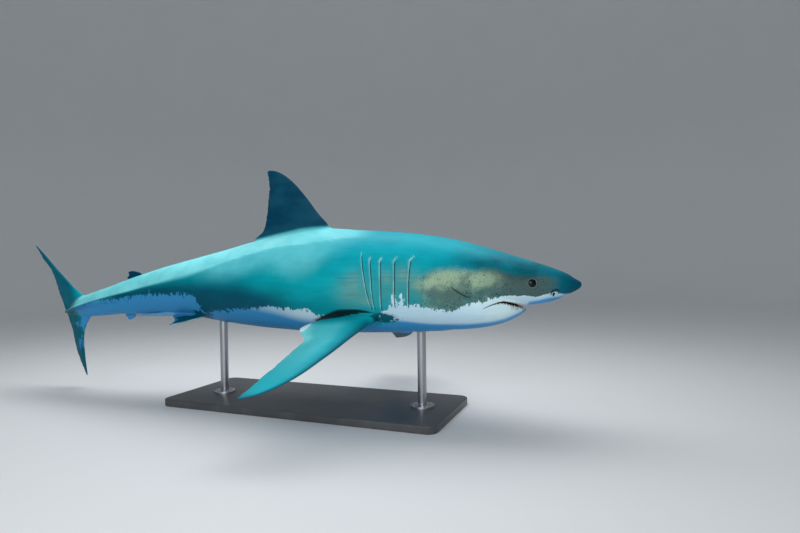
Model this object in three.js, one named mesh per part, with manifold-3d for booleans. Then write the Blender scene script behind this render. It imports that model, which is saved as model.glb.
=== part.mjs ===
// Great white shark, life size, as a still model on a display stand.
// Millimetres, +Z up. +X runs towards the snout, +Y is the shark's left side.
// The origin is the middle of the stand base's underside.
//
// Fish are measured in parts of their total length, and so is this one: a station is the
// distance back from the snout tip along the body's axis, and a height is measured up from
// that axis, both as parts of TOTAL_LENGTH.

import * as THREE from 'three';
import { mergeVertices } from 'three/addons/utils/BufferGeometryUtils.js';
import Module from 'manifold-3d';

const wasm = await Module();
wasm.setup();

// ---------------------------------------------------------------- driving dimensions

const TOTAL_LENGTH = 4200;
const AXIS_HEIGHT = 790; // body axis above the floor, just enough for the hanging tail lobe
const BALANCE_STATION = 0.4; // the station that stands over the middle of the base
const GAP = 0.3; // between neighbouring sub-parts, mm
const AROUND = 36; // points round a body section

// The pose: bends in radians per total length, seen from above, and the tail's droop.
const NECK_STATION = 0.3;
const NECK_BEND = -0.587;
const TRUNK_BEND = -0.422;
const TAIL_BEND_STATION = 0.72;
const TAIL_BEND = 2.935;
const DROOP_STATION = 0.55;
const DROOP = 0.419;
const TWIST_STATION = 0.7;
const TWIST_LENGTH = 0.15;
const TWIST = 0.083;
const TAIL_FIN_STATION = 0.86; // behind this the axis is straight

// Where the body is divided.
const GILL_REGION_START = 0.19;
const GILL_REGION_END = 0.3;
const TRUNK_END = 0.6;
const BODY_END = 0.905;

// Outline of the back, the underside without the lower jaw, and the half width.
const BACK = [[0, -0.0005], [0.008, 0.0065], [0.02, 0.0143], [0.042, 0.0234], [0.078, 0.0354],
  [0.12, 0.0492], [0.178, 0.0649], [0.244, 0.0752], [0.316, 0.0813], [0.372, 0.0854],
  [0.41, 0.0836], [0.44, 0.079], [0.502, 0.0679], [0.558, 0.0548], [0.612, 0.0441],
  [0.668, 0.0352], [0.73, 0.0255], [0.792, 0.0183], [0.85, 0.0168], [0.88, 0.0125], [0.905, 0.006]];
const UNDERSIDE = [[0, -0.0005], [0.008, -0.0092], [0.02, -0.015], [0.038, -0.023], [0.054, -0.0267],
  [0.07, -0.0283], [0.09, -0.029], [0.11, -0.0305], [0.13, -0.036], [0.15, -0.0475], [0.17, -0.0585],
  [0.185, -0.0645], [0.2, -0.0666], [0.22, -0.068], [0.25, -0.0696], [0.308, -0.0719], [0.38, -0.073],
  [0.47, -0.0693], [0.55, -0.0615], [0.586, -0.0562], [0.62, -0.05], [0.66, -0.0445], [0.7, -0.0405],
  [0.736, -0.0366], [0.768, -0.0312], [0.794, -0.0285], [0.838, -0.0222], [0.88, -0.0125], [0.905, -0.006]];
const HALF_WIDTH = [[0, 0], [0.008, 0.0097], [0.02, 0.0168], [0.04, 0.0262], [0.07, 0.038],
  [0.1, 0.0475], [0.14, 0.0585], [0.18, 0.0665], [0.22, 0.0715], [0.27, 0.0755], [0.33, 0.0775],
  [0.38, 0.077], [0.44, 0.0728], [0.5, 0.0655], [0.56, 0.0565], [0.62, 0.0465], [0.68, 0.037],
  [0.73, 0.029], [0.77, 0.0235], [0.81, 0.0195], [0.85, 0.0155], [0.88, 0.01], [0.905, 0.0035]];

// The lower jaw hangs under the snout from its tip back to where it melts into the throat.
const JAW_TIP = 0.0703;
const JAW_CORNER = 0.13;
const JAW_HALF_WIDTH = 0.05;
const JAW_SPREAD = 0.09; // how fast it still widens behind the corner of the mouth
const JAW_FADE = 0.2;
const JAW_UNDERSIDE = [[0.0703, -0.0288], [0.0748, -0.037], [0.082, -0.0428], [0.0892, -0.0469],
  [0.104, -0.0533], [0.12, -0.0578], [0.14, -0.0612], [0.155, -0.0628], [0.17, -0.0635], [0.2, -0.0625]];
const JAW_LEVEL = -0.0255;
const JAW_BLEND = 0.007; // width over which the jaw's oval and the head's melt together
const JAW_PARTING = 0.136; // the lower jaw is a sub-part ahead of this station

// The mouth: the upper lip's line seen from the side, and the opening under it.
const UPPER_LIP = [[0.06, -0.0288], [0.0715, -0.0284], [0.08, -0.0257], [0.09, -0.0233], [0.101, -0.0214],
  [0.112, -0.024], [0.118, -0.0265], [0.126, -0.0296], [0.14, -0.031]];
const MOUTH_OPENING = [[0.06, 0.0062], [0.08, 0.0062], [0.09, 0.005], [0.1, 0.0032],
  [0.112, 0.0021], [0.12, 0.0012], [0.128, 0.0004], [0.14, 0.0002]];

// Keels along the tail stalk, standing out sideways.
const KEEL = [[0.72, 0], [0.77, 0.0035], [0.81, 0.0085], [0.845, 0.0125], [0.875, 0.012], [0.905, 0.006]];
const KEEL_SPREAD = 0.2; // radians round the section

// Eyes: a ball sunk behind a low rim.
const EYE_STATION = 0.0645;
const EYE_ANGLE = 88;
const EYE_BALL_RADIUS = 32;
const EYE_OPENING_RADIUS = 22.5;
const EYE_RIM_RADIUS = 35;
const EYE_RIM_WIDTH = 3;

// Nostrils, on the sides of the snout's underside.
const NOSTRIL_STATION = 0.0372;
const NOSTRIL_ANGLE = 125;
const NOSTRIL_HALF_SIZE = [8, 15, 12]; // along the body, round it, and deep

// Gill slits: station and height at the top, the middle and the bottom.
const GILL_SLITS = [
  [[0.216, 0.0387], [0.2165, 0.0061], [0.219, -0.028]],
  [[0.2372, 0.0381], [0.2352, 0.0062], [0.2373, -0.0302]],
  [[0.2562, 0.0384], [0.2536, 0.0001], [0.2562, -0.0334]],
  [[0.271, 0.0396], [0.2663, 0.0045], [0.2657, -0.0325]],
  [[0.2842, 0.0456], [0.276, 0.0102], [0.2677, -0.0325]],
];
const GILL_SLIT_WIDTH = 11;
const GILL_SLIT_DEPTH = 26;
const GILL_SLIT_LEAN = 18; // the bottom of the slit lies this far ahead, under the flap

// The fold behind the corner of the mouth.
const JAW_FOLD = [[0.1631, -0.0007], [0.1534, -0.0095], [0.1401, -0.0168]];
const JAW_FOLD_WIDTH = 6;
const JAW_FOLD_DEPTH = 7;

// Teeth: triangular blades set along each jaw's edge.
const TEETH_PER_SIDE = 10;
const TOOTH_ROOT = 6; // depth sunk in the gum
const UPPER_TOOTH = { height: 9, width: 13, thick: 4.5, inset: 9, first: 0.0765, last: 0.113 };
const LOWER_TOOTH = { height: 11, width: 9, thick: 4.5, inset: 17, first: 0.078, last: 0.11 };

// Fins: matching points of the front and rear edges, from the root out to the tip.
// Fins on the midline give station and height, side fins distance back and distance out.
const FIN_CHORD_STEPS = 8;
const FIN_EDGE = 1.2; // thickness of a rear edge, mm
const DORSAL_FIN = {
  lead: [[0.334, 0.062], [0.3656, 0.0875], [0.387, 0.109], [0.4077, 0.1355], [0.4278, 0.1578],
    [0.4425, 0.1701], [0.456, 0.1778], [0.466, 0.1808], [0.4735, 0.1814]],
  trail: [[0.482, 0.062], [0.5045, 0.0702], [0.4855, 0.086], [0.479, 0.109], [0.4755, 0.1365],
    [0.4735, 0.152], [0.4742, 0.165], [0.4758, 0.174], [0.4768, 0.1785]],
  thick: [56, 50, 40, 30, 21, 15, 11, 7, 4],
  steps: 14,
};
const SECOND_DORSAL_FIN = {
  lead: [[0.706, 0.018], [0.711, 0.029], [0.72, 0.0345], [0.729, 0.0375]],
  trail: [[0.728, 0.018], [0.742, 0.0268], [0.7375, 0.0315], [0.7383, 0.0372]],
  thick: [16, 13, 9, 4],
  steps: 6,
};
const ANAL_FIN = {
  lead: [[0.731, -0.028], [0.735, -0.0378], [0.7415, -0.0422], [0.747, -0.0442]],
  trail: [[0.748, -0.028], [0.758, -0.0352], [0.7545, -0.0395], [0.753, -0.0436]],
  thick: [14, 12, 8, 4],
  steps: 6,
};
const UPPER_TAIL_LOBE = {
  lead: [[0.815, 0], [0.838, 0.0135], [0.8565, 0.0248], [0.8742, 0.0401], [0.8953, 0.0641],
    [0.9165, 0.0886], [0.9374, 0.1153], [0.9505, 0.1312], [0.9625, 0.1448]],
  trail: [[0.9172, 0], [0.9188, 0.0135], [0.9205, 0.0258], [0.9243, 0.0401], [0.9262, 0.0641],
    [0.9325, 0.0886], [0.9505, 0.1145], [0.956, 0.1275], [0.9652, 0.1438]],
  thick: [56, 50, 40, 32, 25, 19, 13, 9, 5],
  steps: 16,
};
const LOWER_TAIL_LOBE = {
  lead: [[0.815, -0.0001], [0.8357, -0.0175], [0.8488, -0.0246], [0.8626, -0.0315], [0.8735, -0.0415],
    [0.8825, -0.0544], [0.888, -0.0702], [0.8945, -0.0942], [0.8985, -0.1141], [0.9, -0.1205]],
  trail: [[0.917, -0.0001], [0.9128, -0.0175], [0.9118, -0.0246], [0.9112, -0.0315], [0.912, -0.0415],
    [0.9133, -0.0544], [0.9134, -0.0702], [0.9095, -0.0942], [0.9042, -0.1141], [0.9022, -0.1205]],
  thick: [56, 46, 38, 31, 26, 22, 18, 12, 7, 4],
  steps: 16,
};
const PECTORAL_FIN = {
  station: 0.266, side: 0.066, height: -0.044, droop: 21.6,
  lead: [[-0.003, -0.04], [0, 0.0005], [0.003, 0.016], [0.0072, 0.032], [0.0115, 0.047],
    [0.0158, 0.064], [0.0216, 0.0878], [0.0285, 0.111], [0.0345, 0.131], [0.042, 0.15],
    [0.053, 0.168], [0.066, 0.183], [0.078, 0.191], [0.0868, 0.1952]],
  trail: [[0.034, -0.04], [0.038, -0.012], [0.0815, 0.0095], [0.0982, 0.033], [0.0893, 0.0485],
    [0.0752, 0.065], [0.0768, 0.0859], [0.0797, 0.1084], [0.0816, 0.131], [0.085, 0.15],
    [0.0867, 0.1704], [0.0888, 0.182], [0.0903, 0.189], [0.0908, 0.194]],
  thick: [58, 48, 43, 39, 35, 31, 26, 22, 18, 15, 12, 9, 6, 4],
  steps: 20,
};
const PELVIC_FIN = {
  station: 0.577, side: 0.033, height: -0.05, droop: 17,
  lead: [[0, -0.018], [0.001, 0], [0.009, 0.009], [0.019, 0.018], [0.029, 0.026], [0.0385, 0.0325]],
  trail: [[0.0655, -0.018], [0.0625, -0.006], [0.052, 0.006], [0.0445, 0.0155], [0.043, 0.0245], [0.043, 0.0315]],
  thick: [22, 17, 14, 11, 8, 4],
  steps: 8,
};

// Claspers: a pair of tapering rods that trail under the tail stalk, which mark a grown male.
const CLASPER = { start: 0.594, end: 0.722, side: 0.016, startHeight: -0.047, endHeight: -0.0395, radius: 14 };

// The stand.
const BASE_LENGTH = 1900;
const BASE_WIDTH = 720;
const BASE_THICKNESS = 45;
const BASE_CORNER = 60;
const BASE_CHAMFER = 5;
const ROD_RADIUS = 27;
const ROD_FLANGE_RADIUS = 75;
const ROD_FLANGE_THICKNESS = 12;
const ROD_STATIONS = { stand_rod_front: 0.222, stand_rod_rear: 0.563 };

// ---------------------------------------------------------------- materials

function finish(color, roughness, metalness = 0) {
  return new THREE.MeshStandardMaterial({ color, roughness, metalness });
}

const HIDE = finish(0x3d8a99, 0.45);
const HIDE_PALE = finish(0xc9dade, 0.5);
const FIN_HIDE = finish(0x2f7383, 0.45);
const EYE_BLACK = finish(0x0b0e12, 0.05);
const STAND_BASE = finish(0x3a3d40, 0.4);
const STAND_STEEL = finish(0x9a9ea2, 0.3, 1);

// ---------------------------------------------------------------- curves

// A smooth curve through [x, value] pairs that never swings past them (monotone cubic).
function curveThrough(table) {
  const last = table.length - 1;
  const rises = [];
  for (let i = 0; i < last; i += 1) {
    rises.push((table[i + 1][1] - table[i][1]) / (table[i + 1][0] - table[i][0]));
  }
  const slopes = table.map((_, i) => {
    if (i === 0) return rises[0];
    if (i === last) return rises[last - 1];
    const before = rises[i - 1];
    const after = rises[i];
    return before * after <= 0 ? 0 : (2 * before * after) / (before + after);
  });
  return (x) => {
    if (x <= table[0][0]) return table[0][1];
    if (x >= table[last][0]) return table[last][1];
    let i = 0;
    while (table[i + 1][0] < x) i += 1;
    const step = table[i + 1][0] - table[i][0];
    const t = (x - table[i][0]) / step;
    const fromStart = table[i][1] * (1 + 2 * t) * (1 - t) ** 2 + slopes[i] * step * t * (1 - t) ** 2;
    const fromEnd = table[i + 1][1] * t * t * (3 - 2 * t) + slopes[i + 1] * step * t * t * (t - 1);
    return fromStart + fromEnd;
  };
}

// The body's outlines are curves in the root of the station, which rounds the snout's tip.
function outline(table) {
  const curve = curveThrough(table.map(([station, value]) => [Math.sqrt(station), value]));
  return (station) => curve(Math.sqrt(Math.max(station, 0)));
}

const backHeight = outline(BACK);
const undersideHeight = outline(UNDERSIDE);
const halfWidth = outline(HALF_WIDTH);
const jawUnderside = curveThrough(JAW_UNDERSIDE);
const keelReach = curveThrough(KEEL);
const upperLip = curveThrough(UPPER_LIP);
const mouthOpening = curveThrough(MOUTH_OPENING);

// ---------------------------------------------------------------- the body's axis

function heading(station) {
  const bent = Math.min(station, TAIL_FIN_STATION);
  return NECK_BEND * Math.max(NECK_STATION - bent, 0)
    + TRUNK_BEND * Math.max(bent - NECK_STATION, 0)
    + TAIL_BEND * Math.max(bent - TAIL_BEND_STATION, 0);
}

const AXIS_STEP = 0.001;
const axisPoints = [new THREE.Vector3(0, 0, 0)];
for (let i = 1; i <= Math.round(TAIL_FIN_STATION / AXIS_STEP); i += 1) {
  const turn = heading((i - 0.5) * AXIS_STEP);
  const station = i * AXIS_STEP;
  const before = axisPoints[i - 1];
  axisPoints.push(new THREE.Vector3(
    before.x - Math.cos(turn) * AXIS_STEP,
    before.y + Math.sin(turn) * AXIS_STEP,
    -DROOP * Math.max(station - DROOP_STATION, 0) ** 2,
  ));
}

// Directions along the body at a station: back towards the tail, to the left, and up.
function directions(station) {
  const bent = Math.min(station, TAIL_FIN_STATION);
  const turn = heading(bent);
  const pitch = Math.atan(-2 * DROOP * Math.max(bent - DROOP_STATION, 0));
  const back = new THREE.Vector3(
    -Math.cos(turn) * Math.cos(pitch),
    Math.sin(turn) * Math.cos(pitch),
    Math.sin(pitch),
  );
  const level = new THREE.Vector3(-Math.sin(turn), -Math.cos(turn), 0).negate();
  const upright = new THREE.Vector3().crossVectors(level, back).normalize();
  const twist = TWIST * THREE.MathUtils.clamp((bent - TWIST_STATION) / TWIST_LENGTH, 0, 1);
  const up = upright.clone().multiplyScalar(Math.cos(twist)).addScaledVector(level, -Math.sin(twist));
  const left = level.clone().multiplyScalar(Math.cos(twist)).addScaledVector(upright, Math.sin(twist));
  return { back, left, up };
}

function axisPoint(station) {
  const bent = Math.min(station, TAIL_FIN_STATION);
  const place = Math.max(bent, 0) / AXIS_STEP;
  const index = Math.min(Math.floor(place), axisPoints.length - 2);
  const point = axisPoints[index].clone().lerp(axisPoints[index + 1], place - index);
  const beyond = station - Math.max(bent, 0);
  return point.addScaledVector(directions(bent).back, beyond);
}

const balancePoint = axisPoint(BALANCE_STATION);

// A point given by its station and its distances left of and above the axis, in millimetres.
function bodyPoint(station, left, up, back = 0) {
  const along = directions(station);
  return axisPoint(station)
    .addScaledVector(along.left, left)
    .addScaledVector(along.up, up)
    .addScaledVector(along.back, back)
    .sub(new THREE.Vector3(balancePoint.x, balancePoint.y, 0))
    .multiplyScalar(TOTAL_LENGTH)
    .add(new THREE.Vector3(0, 0, AXIS_HEIGHT));
}

// ---------------------------------------------------------------- body sections

// The lower jaw's own oval section, or null where there is none.
function jawOval(station) {
  if (station <= JAW_TIP || station >= JAW_FADE) return null;
  const grown = Math.sqrt((station - JAW_TIP) / (JAW_CORNER - JAW_TIP));
  const wide = JAW_HALF_WIDTH + JAW_SPREAD * (station - JAW_CORNER);
  const width = station < JAW_CORNER ? JAW_HALF_WIDTH * grown : wide;
  return { width, depth: JAW_LEVEL - jawUnderside(station) };
}

// How far the jaw's oval reaches from a centre on the midline, in one direction.
function jawReach(oval, centre, side, rise) {
  const drop = centre - JAW_LEVEL;
  const a = (side / oval.width) ** 2 + (rise / oval.depth) ** 2;
  const b = (rise * drop) / oval.depth ** 2;
  const c = (drop / oval.depth) ** 2 - 1;
  const under = b * b - a * c;
  return under <= 0 ? 0 : (-b + Math.sqrt(under)) / a;
}

// A point of the body's section, as parts of the total length left of and above the axis.
// The angle runs from the back (0) by the left flank to the belly (pi) and up the right.
function sectionPoint(station, angle) {
  const top = backHeight(station);
  const bottom = undersideHeight(station);
  const centre = (top + bottom) / 2;
  let side = halfWidth(station) * Math.sin(angle);
  let rise = ((top - bottom) / 2) * Math.cos(angle);
  const oval = jawOval(station);
  if (oval) {
    const reach = Math.hypot(side, rise);
    const jaw = jawReach(oval, centre, side / reach, rise / reach);
    const overlap = Math.max(JAW_BLEND - Math.abs(jaw - reach), 0);
    const stretch = (Math.max(jaw, reach) + overlap ** 2 / (4 * JAW_BLEND)) / reach;
    side *= stretch;
    rise *= stretch;
  }
  const fromFlank = Math.abs(Math.sin(angle / 2 - Math.PI / 4)) < Math.SQRT1_2
    ? angle - Math.PI / 2 : angle - 1.5 * Math.PI;
  const keel = keelReach(station) * Math.exp(-((fromFlank / KEEL_SPREAD) ** 2));
  side += Math.sign(Math.sin(angle)) * keel;
  return { side, height: centre + rise };
}

// A point of the skin, in millimetres, pushed out along the section by an offset.
function skinPoint(station, angle, offset = 0) {
  const { side, height } = sectionPoint(station, angle);
  const extra = offset / TOTAL_LENGTH;
  return bodyPoint(station, side + extra * Math.sin(angle), height + extra * Math.cos(angle));
}

// Outward direction of the skin.
function skinNormal(station, angle) {
  const ahead = skinPoint(station - 0.002, angle);
  const behind = skinPoint(station + 0.002, angle);
  const along = behind.sub(ahead);
  const around = skinPoint(station, angle + 0.02).sub(skinPoint(station, angle - 0.02));
  return around.cross(along).normalize();
}

// The angle at which a flank reaches a given height; side is 1 for left and -1 for right.
function flankAngle(station, height, side) {
  let high = 0;
  let low = Math.PI;
  for (let i = 0; i < 30; i += 1) {
    const middle = (high + low) / 2;
    if (sectionPoint(station, middle).height > height) high = middle;
    else low = middle;
  }
  const angle = (high + low) / 2;
  return side > 0 ? angle : 2 * Math.PI - angle;
}

// ---------------------------------------------------------------- lofted solids

// A closed surface through rings of points. Each ring runs the same way round, and its two
// faces are split into triangles alike, from the ring's first point to its halfway point.
function loftGeometry(rings) {
  const count = rings[0].length;
  const places = rings.flat().flatMap((point) => [point.x, point.y, point.z]);
  const triangles = [];
  for (let row = 0; row < rings.length - 1; row += 1) {
    for (let i = 0; i < count; i += 1) {
      const next = (i + 1) % count;
      const a = row * count + i;
      const b = row * count + next;
      const c = a + count;
      const d = b + count;
      if (i < count / 2) triangles.push(a, b, d, a, d, c);
      else triangles.push(a, b, c, b, d, c);
    }
  }
  [0, rings.length - 1].forEach((row, end) => {
    const middle = rings[row].reduce((sum, point) => sum.add(point), new THREE.Vector3());
    middle.divideScalar(count);
    places.push(middle.x, middle.y, middle.z);
    const hub = places.length / 3 - 1;
    for (let i = 0; i < count; i += 1) {
      const a = row * count + i;
      const b = row * count + ((i + 1) % count);
      if (end === 0) triangles.push(hub, b, a);
      else triangles.push(hub, a, b);
    }
  });
  const geometry = new THREE.BufferGeometry();
  geometry.setAttribute('position', new THREE.Float32BufferAttribute(places, 3));
  geometry.setIndex(triangles);
  return geometry;
}

function solidVolume(geometry) {
  const places = geometry.attributes.position;
  const index = geometry.index;
  const corner = (i) => new THREE.Vector3().fromBufferAttribute(places, index.getX(i));
  let volume = 0;
  for (let i = 0; i < index.count; i += 3) {
    volume += corner(i).dot(corner(i + 1).cross(corner(i + 2)));
  }
  return volume;
}

// A manifold solid from a closed geometry, turned so that its faces point outwards.
function solid(geometry) {
  geometry.deleteAttribute('normal');
  geometry.deleteAttribute('uv');
  const merged = mergeVertices(geometry, 1e-4);
  const triVerts = Uint32Array.from(merged.index.array);
  if (solidVolume(merged) < 0) {
    for (let i = 0; i < triVerts.length; i += 3) {
      [triVerts[i], triVerts[i + 1]] = [triVerts[i + 1], triVerts[i]];
    }
  }
  const vertProperties = Float32Array.from(merged.attributes.position.array);
  return new wasm.Manifold(new wasm.Mesh({ numProp: 3, vertProperties, triVerts }));
}

function loft(rings) {
  return solid(loftGeometry(rings));
}

function largestPiece(shape) {
  const pieces = shape.decompose();
  return pieces.reduce((best, piece) => (piece.volume() > best.volume() ? piece : best));
}

// ---------------------------------------------------------------- body lengths

const HEAD_STATIONS = [0.0006, 0.0025, 0.006, 0.011, 0.018, 0.027, 0.037, 0.048, 0.058, 0.066, 0.0714,
  0.0722, 0.0735, 0.076, 0.08, 0.086, 0.094, 0.104, 0.115, 0.13, 0.145, 0.165, GILL_REGION_START];
const GILL_REGION_STATIONS = [0.19, 0.21, 0.23, 0.25, 0.275, GILL_REGION_END];
const TRUNK_STATIONS = [0.3, 0.325, 0.35, 0.375, 0.4, 0.425, 0.45, 0.475, 0.5, 0.525, 0.55, 0.575, TRUNK_END];
const TAIL_STATIONS = [0.6, 0.625, 0.65, 0.675, 0.7, 0.725, 0.75, 0.77, 0.79, 0.81, 0.83, 0.85, 0.87,
  0.885, 0.896, BODY_END];
const ALL_STATIONS = [...HEAD_STATIONS, ...GILL_REGION_STATIONS.slice(1), ...TRUNK_STATIONS.slice(1),
  ...TAIL_STATIONS.slice(1)];

function bodyRing(station, offset = 0) {
  const ring = [];
  for (let i = 0; i < AROUND; i += 1) {
    ring.push(skinPoint(station, (i / AROUND) * 2 * Math.PI, offset));
  }
  return ring;
}

// A length of the body, its two ends drawn in by half the gap to the neighbouring lengths.
function bodyLength(stations, trimStart, trimEnd) {
  const inset = GAP / 2 / TOTAL_LENGTH;
  const placed = stations.map((station, i) => {
    if (i === 0 && trimStart) return station + inset;
    if (i === stations.length - 1 && trimEnd) return station - inset;
    return station;
  });
  return loft(placed.map((station) => bodyRing(station)));
}

// The whole body, swollen by a clearance, for cutting what meets it.
function bodyForCutting(clearance) {
  return loft(ALL_STATIONS.map((station) => bodyRing(station, clearance)));
}

// ---------------------------------------------------------------- mouth, eyes, nostrils

// A block across the head, between two heights that change along it.
function blockAcross(stations, lowHeight, highHeight) {
  const reach = 0.09;
  return loft(stations.map((station) => [
    bodyPoint(station, -reach, lowHeight(station)),
    bodyPoint(station, reach, lowHeight(station)),
    bodyPoint(station, reach, highHeight(station)),
    bodyPoint(station, -reach, highHeight(station)),
  ]));
}

const MOUTH_STATIONS = [0.06, 0.0703, 0.0752, 0.08, 0.085, 0.09, 0.0955, 0.101, 0.1065, 0.112, 0.118, 0.126,
  JAW_PARTING];

function lowerLip(station) {
  return upperLip(station) - mouthOpening(station) - GAP / TOTAL_LENGTH;
}

function underJaw() {
  return -0.12;
}

function placedSolid(geometry, matrix) {
  geometry.applyMatrix4(matrix);
  return solid(geometry);
}

// A turned and moved frame on the skin: x runs back along the body, y round it, z outwards.
function skinFrame(station, angle, depth) {
  const outward = skinNormal(station, angle);
  const around = skinPoint(station, angle + 0.02).sub(skinPoint(station, angle - 0.02)).normalize();
  const along = new THREE.Vector3().crossVectors(around, outward).normalize();
  const place = skinPoint(station, angle).addScaledVector(outward, -depth);
  return new THREE.Matrix4().makeBasis(along, around, outward).setPosition(place);
}

function radians(degrees) {
  return (degrees * Math.PI) / 180;
}

function sideAngle(degrees, side) {
  return side > 0 ? radians(degrees) : 2 * Math.PI - radians(degrees);
}

const EYE_DEPTH = Math.sqrt(EYE_BALL_RADIUS ** 2 - EYE_OPENING_RADIUS ** 2);

function eyeBall(side, clearance = 0) {
  const ball = new THREE.SphereGeometry(EYE_BALL_RADIUS + clearance, 18, 12);
  return placedSolid(ball, skinFrame(EYE_STATION, sideAngle(EYE_ANGLE, side), EYE_DEPTH));
}

function eyeRim(side) {
  const frame = skinFrame(EYE_STATION, sideAngle(EYE_ANGLE, side), 0);
  const outer = EYE_OPENING_RADIUS + EYE_RIM_WIDTH;
  const sunk = Math.sqrt(EYE_RIM_RADIUS ** 2 - outer ** 2);
  const boss = new THREE.SphereGeometry(EYE_RIM_RADIUS, 20, 12).translate(0, 0, -sunk);
  const window = new THREE.CylinderGeometry(EYE_OPENING_RADIUS, EYE_OPENING_RADIUS, 60, 20);
  window.rotateX(Math.PI / 2).translate(0, 0, 20);
  return { boss: placedSolid(boss, frame), window: placedSolid(window, frame) };
}

function nostril(side) {
  const [along, around, deep] = NOSTRIL_HALF_SIZE;
  const hollow = new THREE.SphereGeometry(1, 12, 8).scale(along, around, deep);
  return placedSolid(hollow, skinFrame(NOSTRIL_STATION, sideAngle(NOSTRIL_ANGLE, side), 0));
}

// A blade that cuts a groove along a line on the flank, leaning forward as it goes in.
function flankGroove(line, side, width, depth, lean) {
  const steps = 8;
  const station = curveThrough(line.map(([place], i) => [i, place]));
  const height = curveThrough(line.map(([, rise], i) => [i, rise]));
  const rings = [];
  for (let i = 0; i <= steps; i += 1) {
    const t = (i / steps) * (line.length - 1);
    const angle = flankAngle(station(t), height(t), side);
    const outward = skinNormal(station(t), angle);
    const back = directions(station(t)).back;
    const fade = Math.sqrt(Math.sin((Math.PI * (i + 0.35)) / (steps + 0.7)));
    const surface = skinPoint(station(t), angle);
    const outer = surface.clone().addScaledVector(outward, width);
    const inner = surface.clone().addScaledVector(outward, -depth * fade);
    inner.addScaledVector(back, -lean * fade);
    const half = (width / 2) * fade;
    rings.push([
      outer.clone().addScaledVector(back, -half),
      outer.clone().addScaledVector(back, half),
      inner.clone().addScaledVector(back, half * 0.5),
      inner.clone().addScaledVector(back, -half * 0.5),
    ]);
  }
  return loft(rings);
}

// ---------------------------------------------------------------- teeth

// One tooth: a flat four-sided point, its root below z = 0 and its width along x.
function toothGeometry(tooth) {
  const whole = tooth.height + TOOTH_ROOT;
  const point = new THREE.ConeGeometry(0.5, whole, 4, 1);
  point.rotateX(Math.PI / 2).translate(0, 0, whole / 2 - TOOTH_ROOT);
  return point.scale(tooth.width, tooth.thick, 1);
}

// Teeth along one jaw, from its middle out to each side; pointing is 1 up or -1 down.
function toothRow(tooth, gumHeight, pointing) {
  const teeth = [];
  [1, -1].forEach((side) => {
    for (let i = 0; i < TEETH_PER_SIDE; i += 1) {
      const share = (i + 0.5) / TEETH_PER_SIDE;
      const jawWidth = JAW_HALF_WIDTH * share;
      const station = tooth.first + (tooth.last - tooth.first) * share ** 2;
      const left = side * (jawWidth - (tooth.inset / TOTAL_LENGTH) * share);
      const size = 1 - 0.35 * share;
      const along = directions(station);
      const slope = Math.atan2(2 * (tooth.last - tooth.first) * share, JAW_HALF_WIDTH);
      const edge = along.left.clone().multiplyScalar(side * Math.cos(slope));
      edge.addScaledVector(along.back, Math.sin(slope));
      const upward = along.up.clone().multiplyScalar(pointing);
      const face = new THREE.Vector3().crossVectors(upward, edge);
      const place = bodyPoint(station, left, gumHeight(station));
      const frame = new THREE.Matrix4().makeBasis(edge, face, upward).setPosition(place);
      frame.scale(new THREE.Vector3(size, size, size));
      teeth.push(placedSolid(toothGeometry(tooth), frame));
    }
  });
  return teeth;
}

// ---------------------------------------------------------------- head pieces

function headAndJaw() {
  const whole = bodyLength(HEAD_STATIONS, false, true);
  const mouthAndJaw = blockAcross(MOUTH_STATIONS, underJaw, upperLip);
  const jawStations = [...MOUTH_STATIONS.slice(0, -1), JAW_PARTING - GAP / TOTAL_LENGTH];
  const jawBlock = blockAcross(jawStations, underJaw, lowerLip);
  let head = whole.subtract(mouthAndJaw);
  let jaw = whole.intersect(jawBlock);
  toothRow(UPPER_TOOTH, upperLip, -1).forEach((tooth) => { head = head.add(tooth); });
  toothRow(LOWER_TOOTH, lowerLip, 1).forEach((tooth) => { jaw = jaw.add(tooth); });
  [1, -1].forEach((side) => {
    const rim = eyeRim(side);
    head = head.add(rim.boss).subtract(rim.window).subtract(eyeBall(side, GAP)).subtract(nostril(side));
    head = head.subtract(flankGroove(JAW_FOLD, side, JAW_FOLD_WIDTH, JAW_FOLD_DEPTH, 0));
  });
  return { head: largestPiece(head), jaw: largestPiece(jaw) };
}

function gillRegion() {
  let region = bodyLength(GILL_REGION_STATIONS, true, true);
  [1, -1].forEach((side) => {
    GILL_SLITS.forEach((line) => {
      region = region.subtract(flankGroove(line, side, GILL_SLIT_WIDTH, GILL_SLIT_DEPTH, GILL_SLIT_LEAN));
    });
  });
  return largestPiece(region);
}

// ---------------------------------------------------------------- fins

// Half thickness of a fin's section, as a part of its greatest thickness.
function foilHalf(t) {
  return 5 * (0.2969 * Math.sqrt(t) - 0.126 * t - 0.3516 * t ** 2 + 0.2843 * t ** 3 - 0.1036 * t ** 4);
}

// One section from the front edge to the rear edge and back along the other face.
function foilSection(lead, trail, thick, across) {
  const upper = [];
  const lower = [];
  for (let i = 0; i <= FIN_CHORD_STEPS; i += 1) {
    const t = (1 - Math.cos((Math.PI * i) / FIN_CHORD_STEPS)) / 2;
    const half = foilHalf(t) * thick + (FIN_EDGE / 2) * Math.min(1, 6 * t);
    const middle = lead.clone().lerp(trail, t);
    upper.push(middle.clone().addScaledVector(across, half));
    if (i > 0) lower.unshift(middle.clone().addScaledVector(across, -half));
  }
  return [...upper, ...lower];
}

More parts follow.
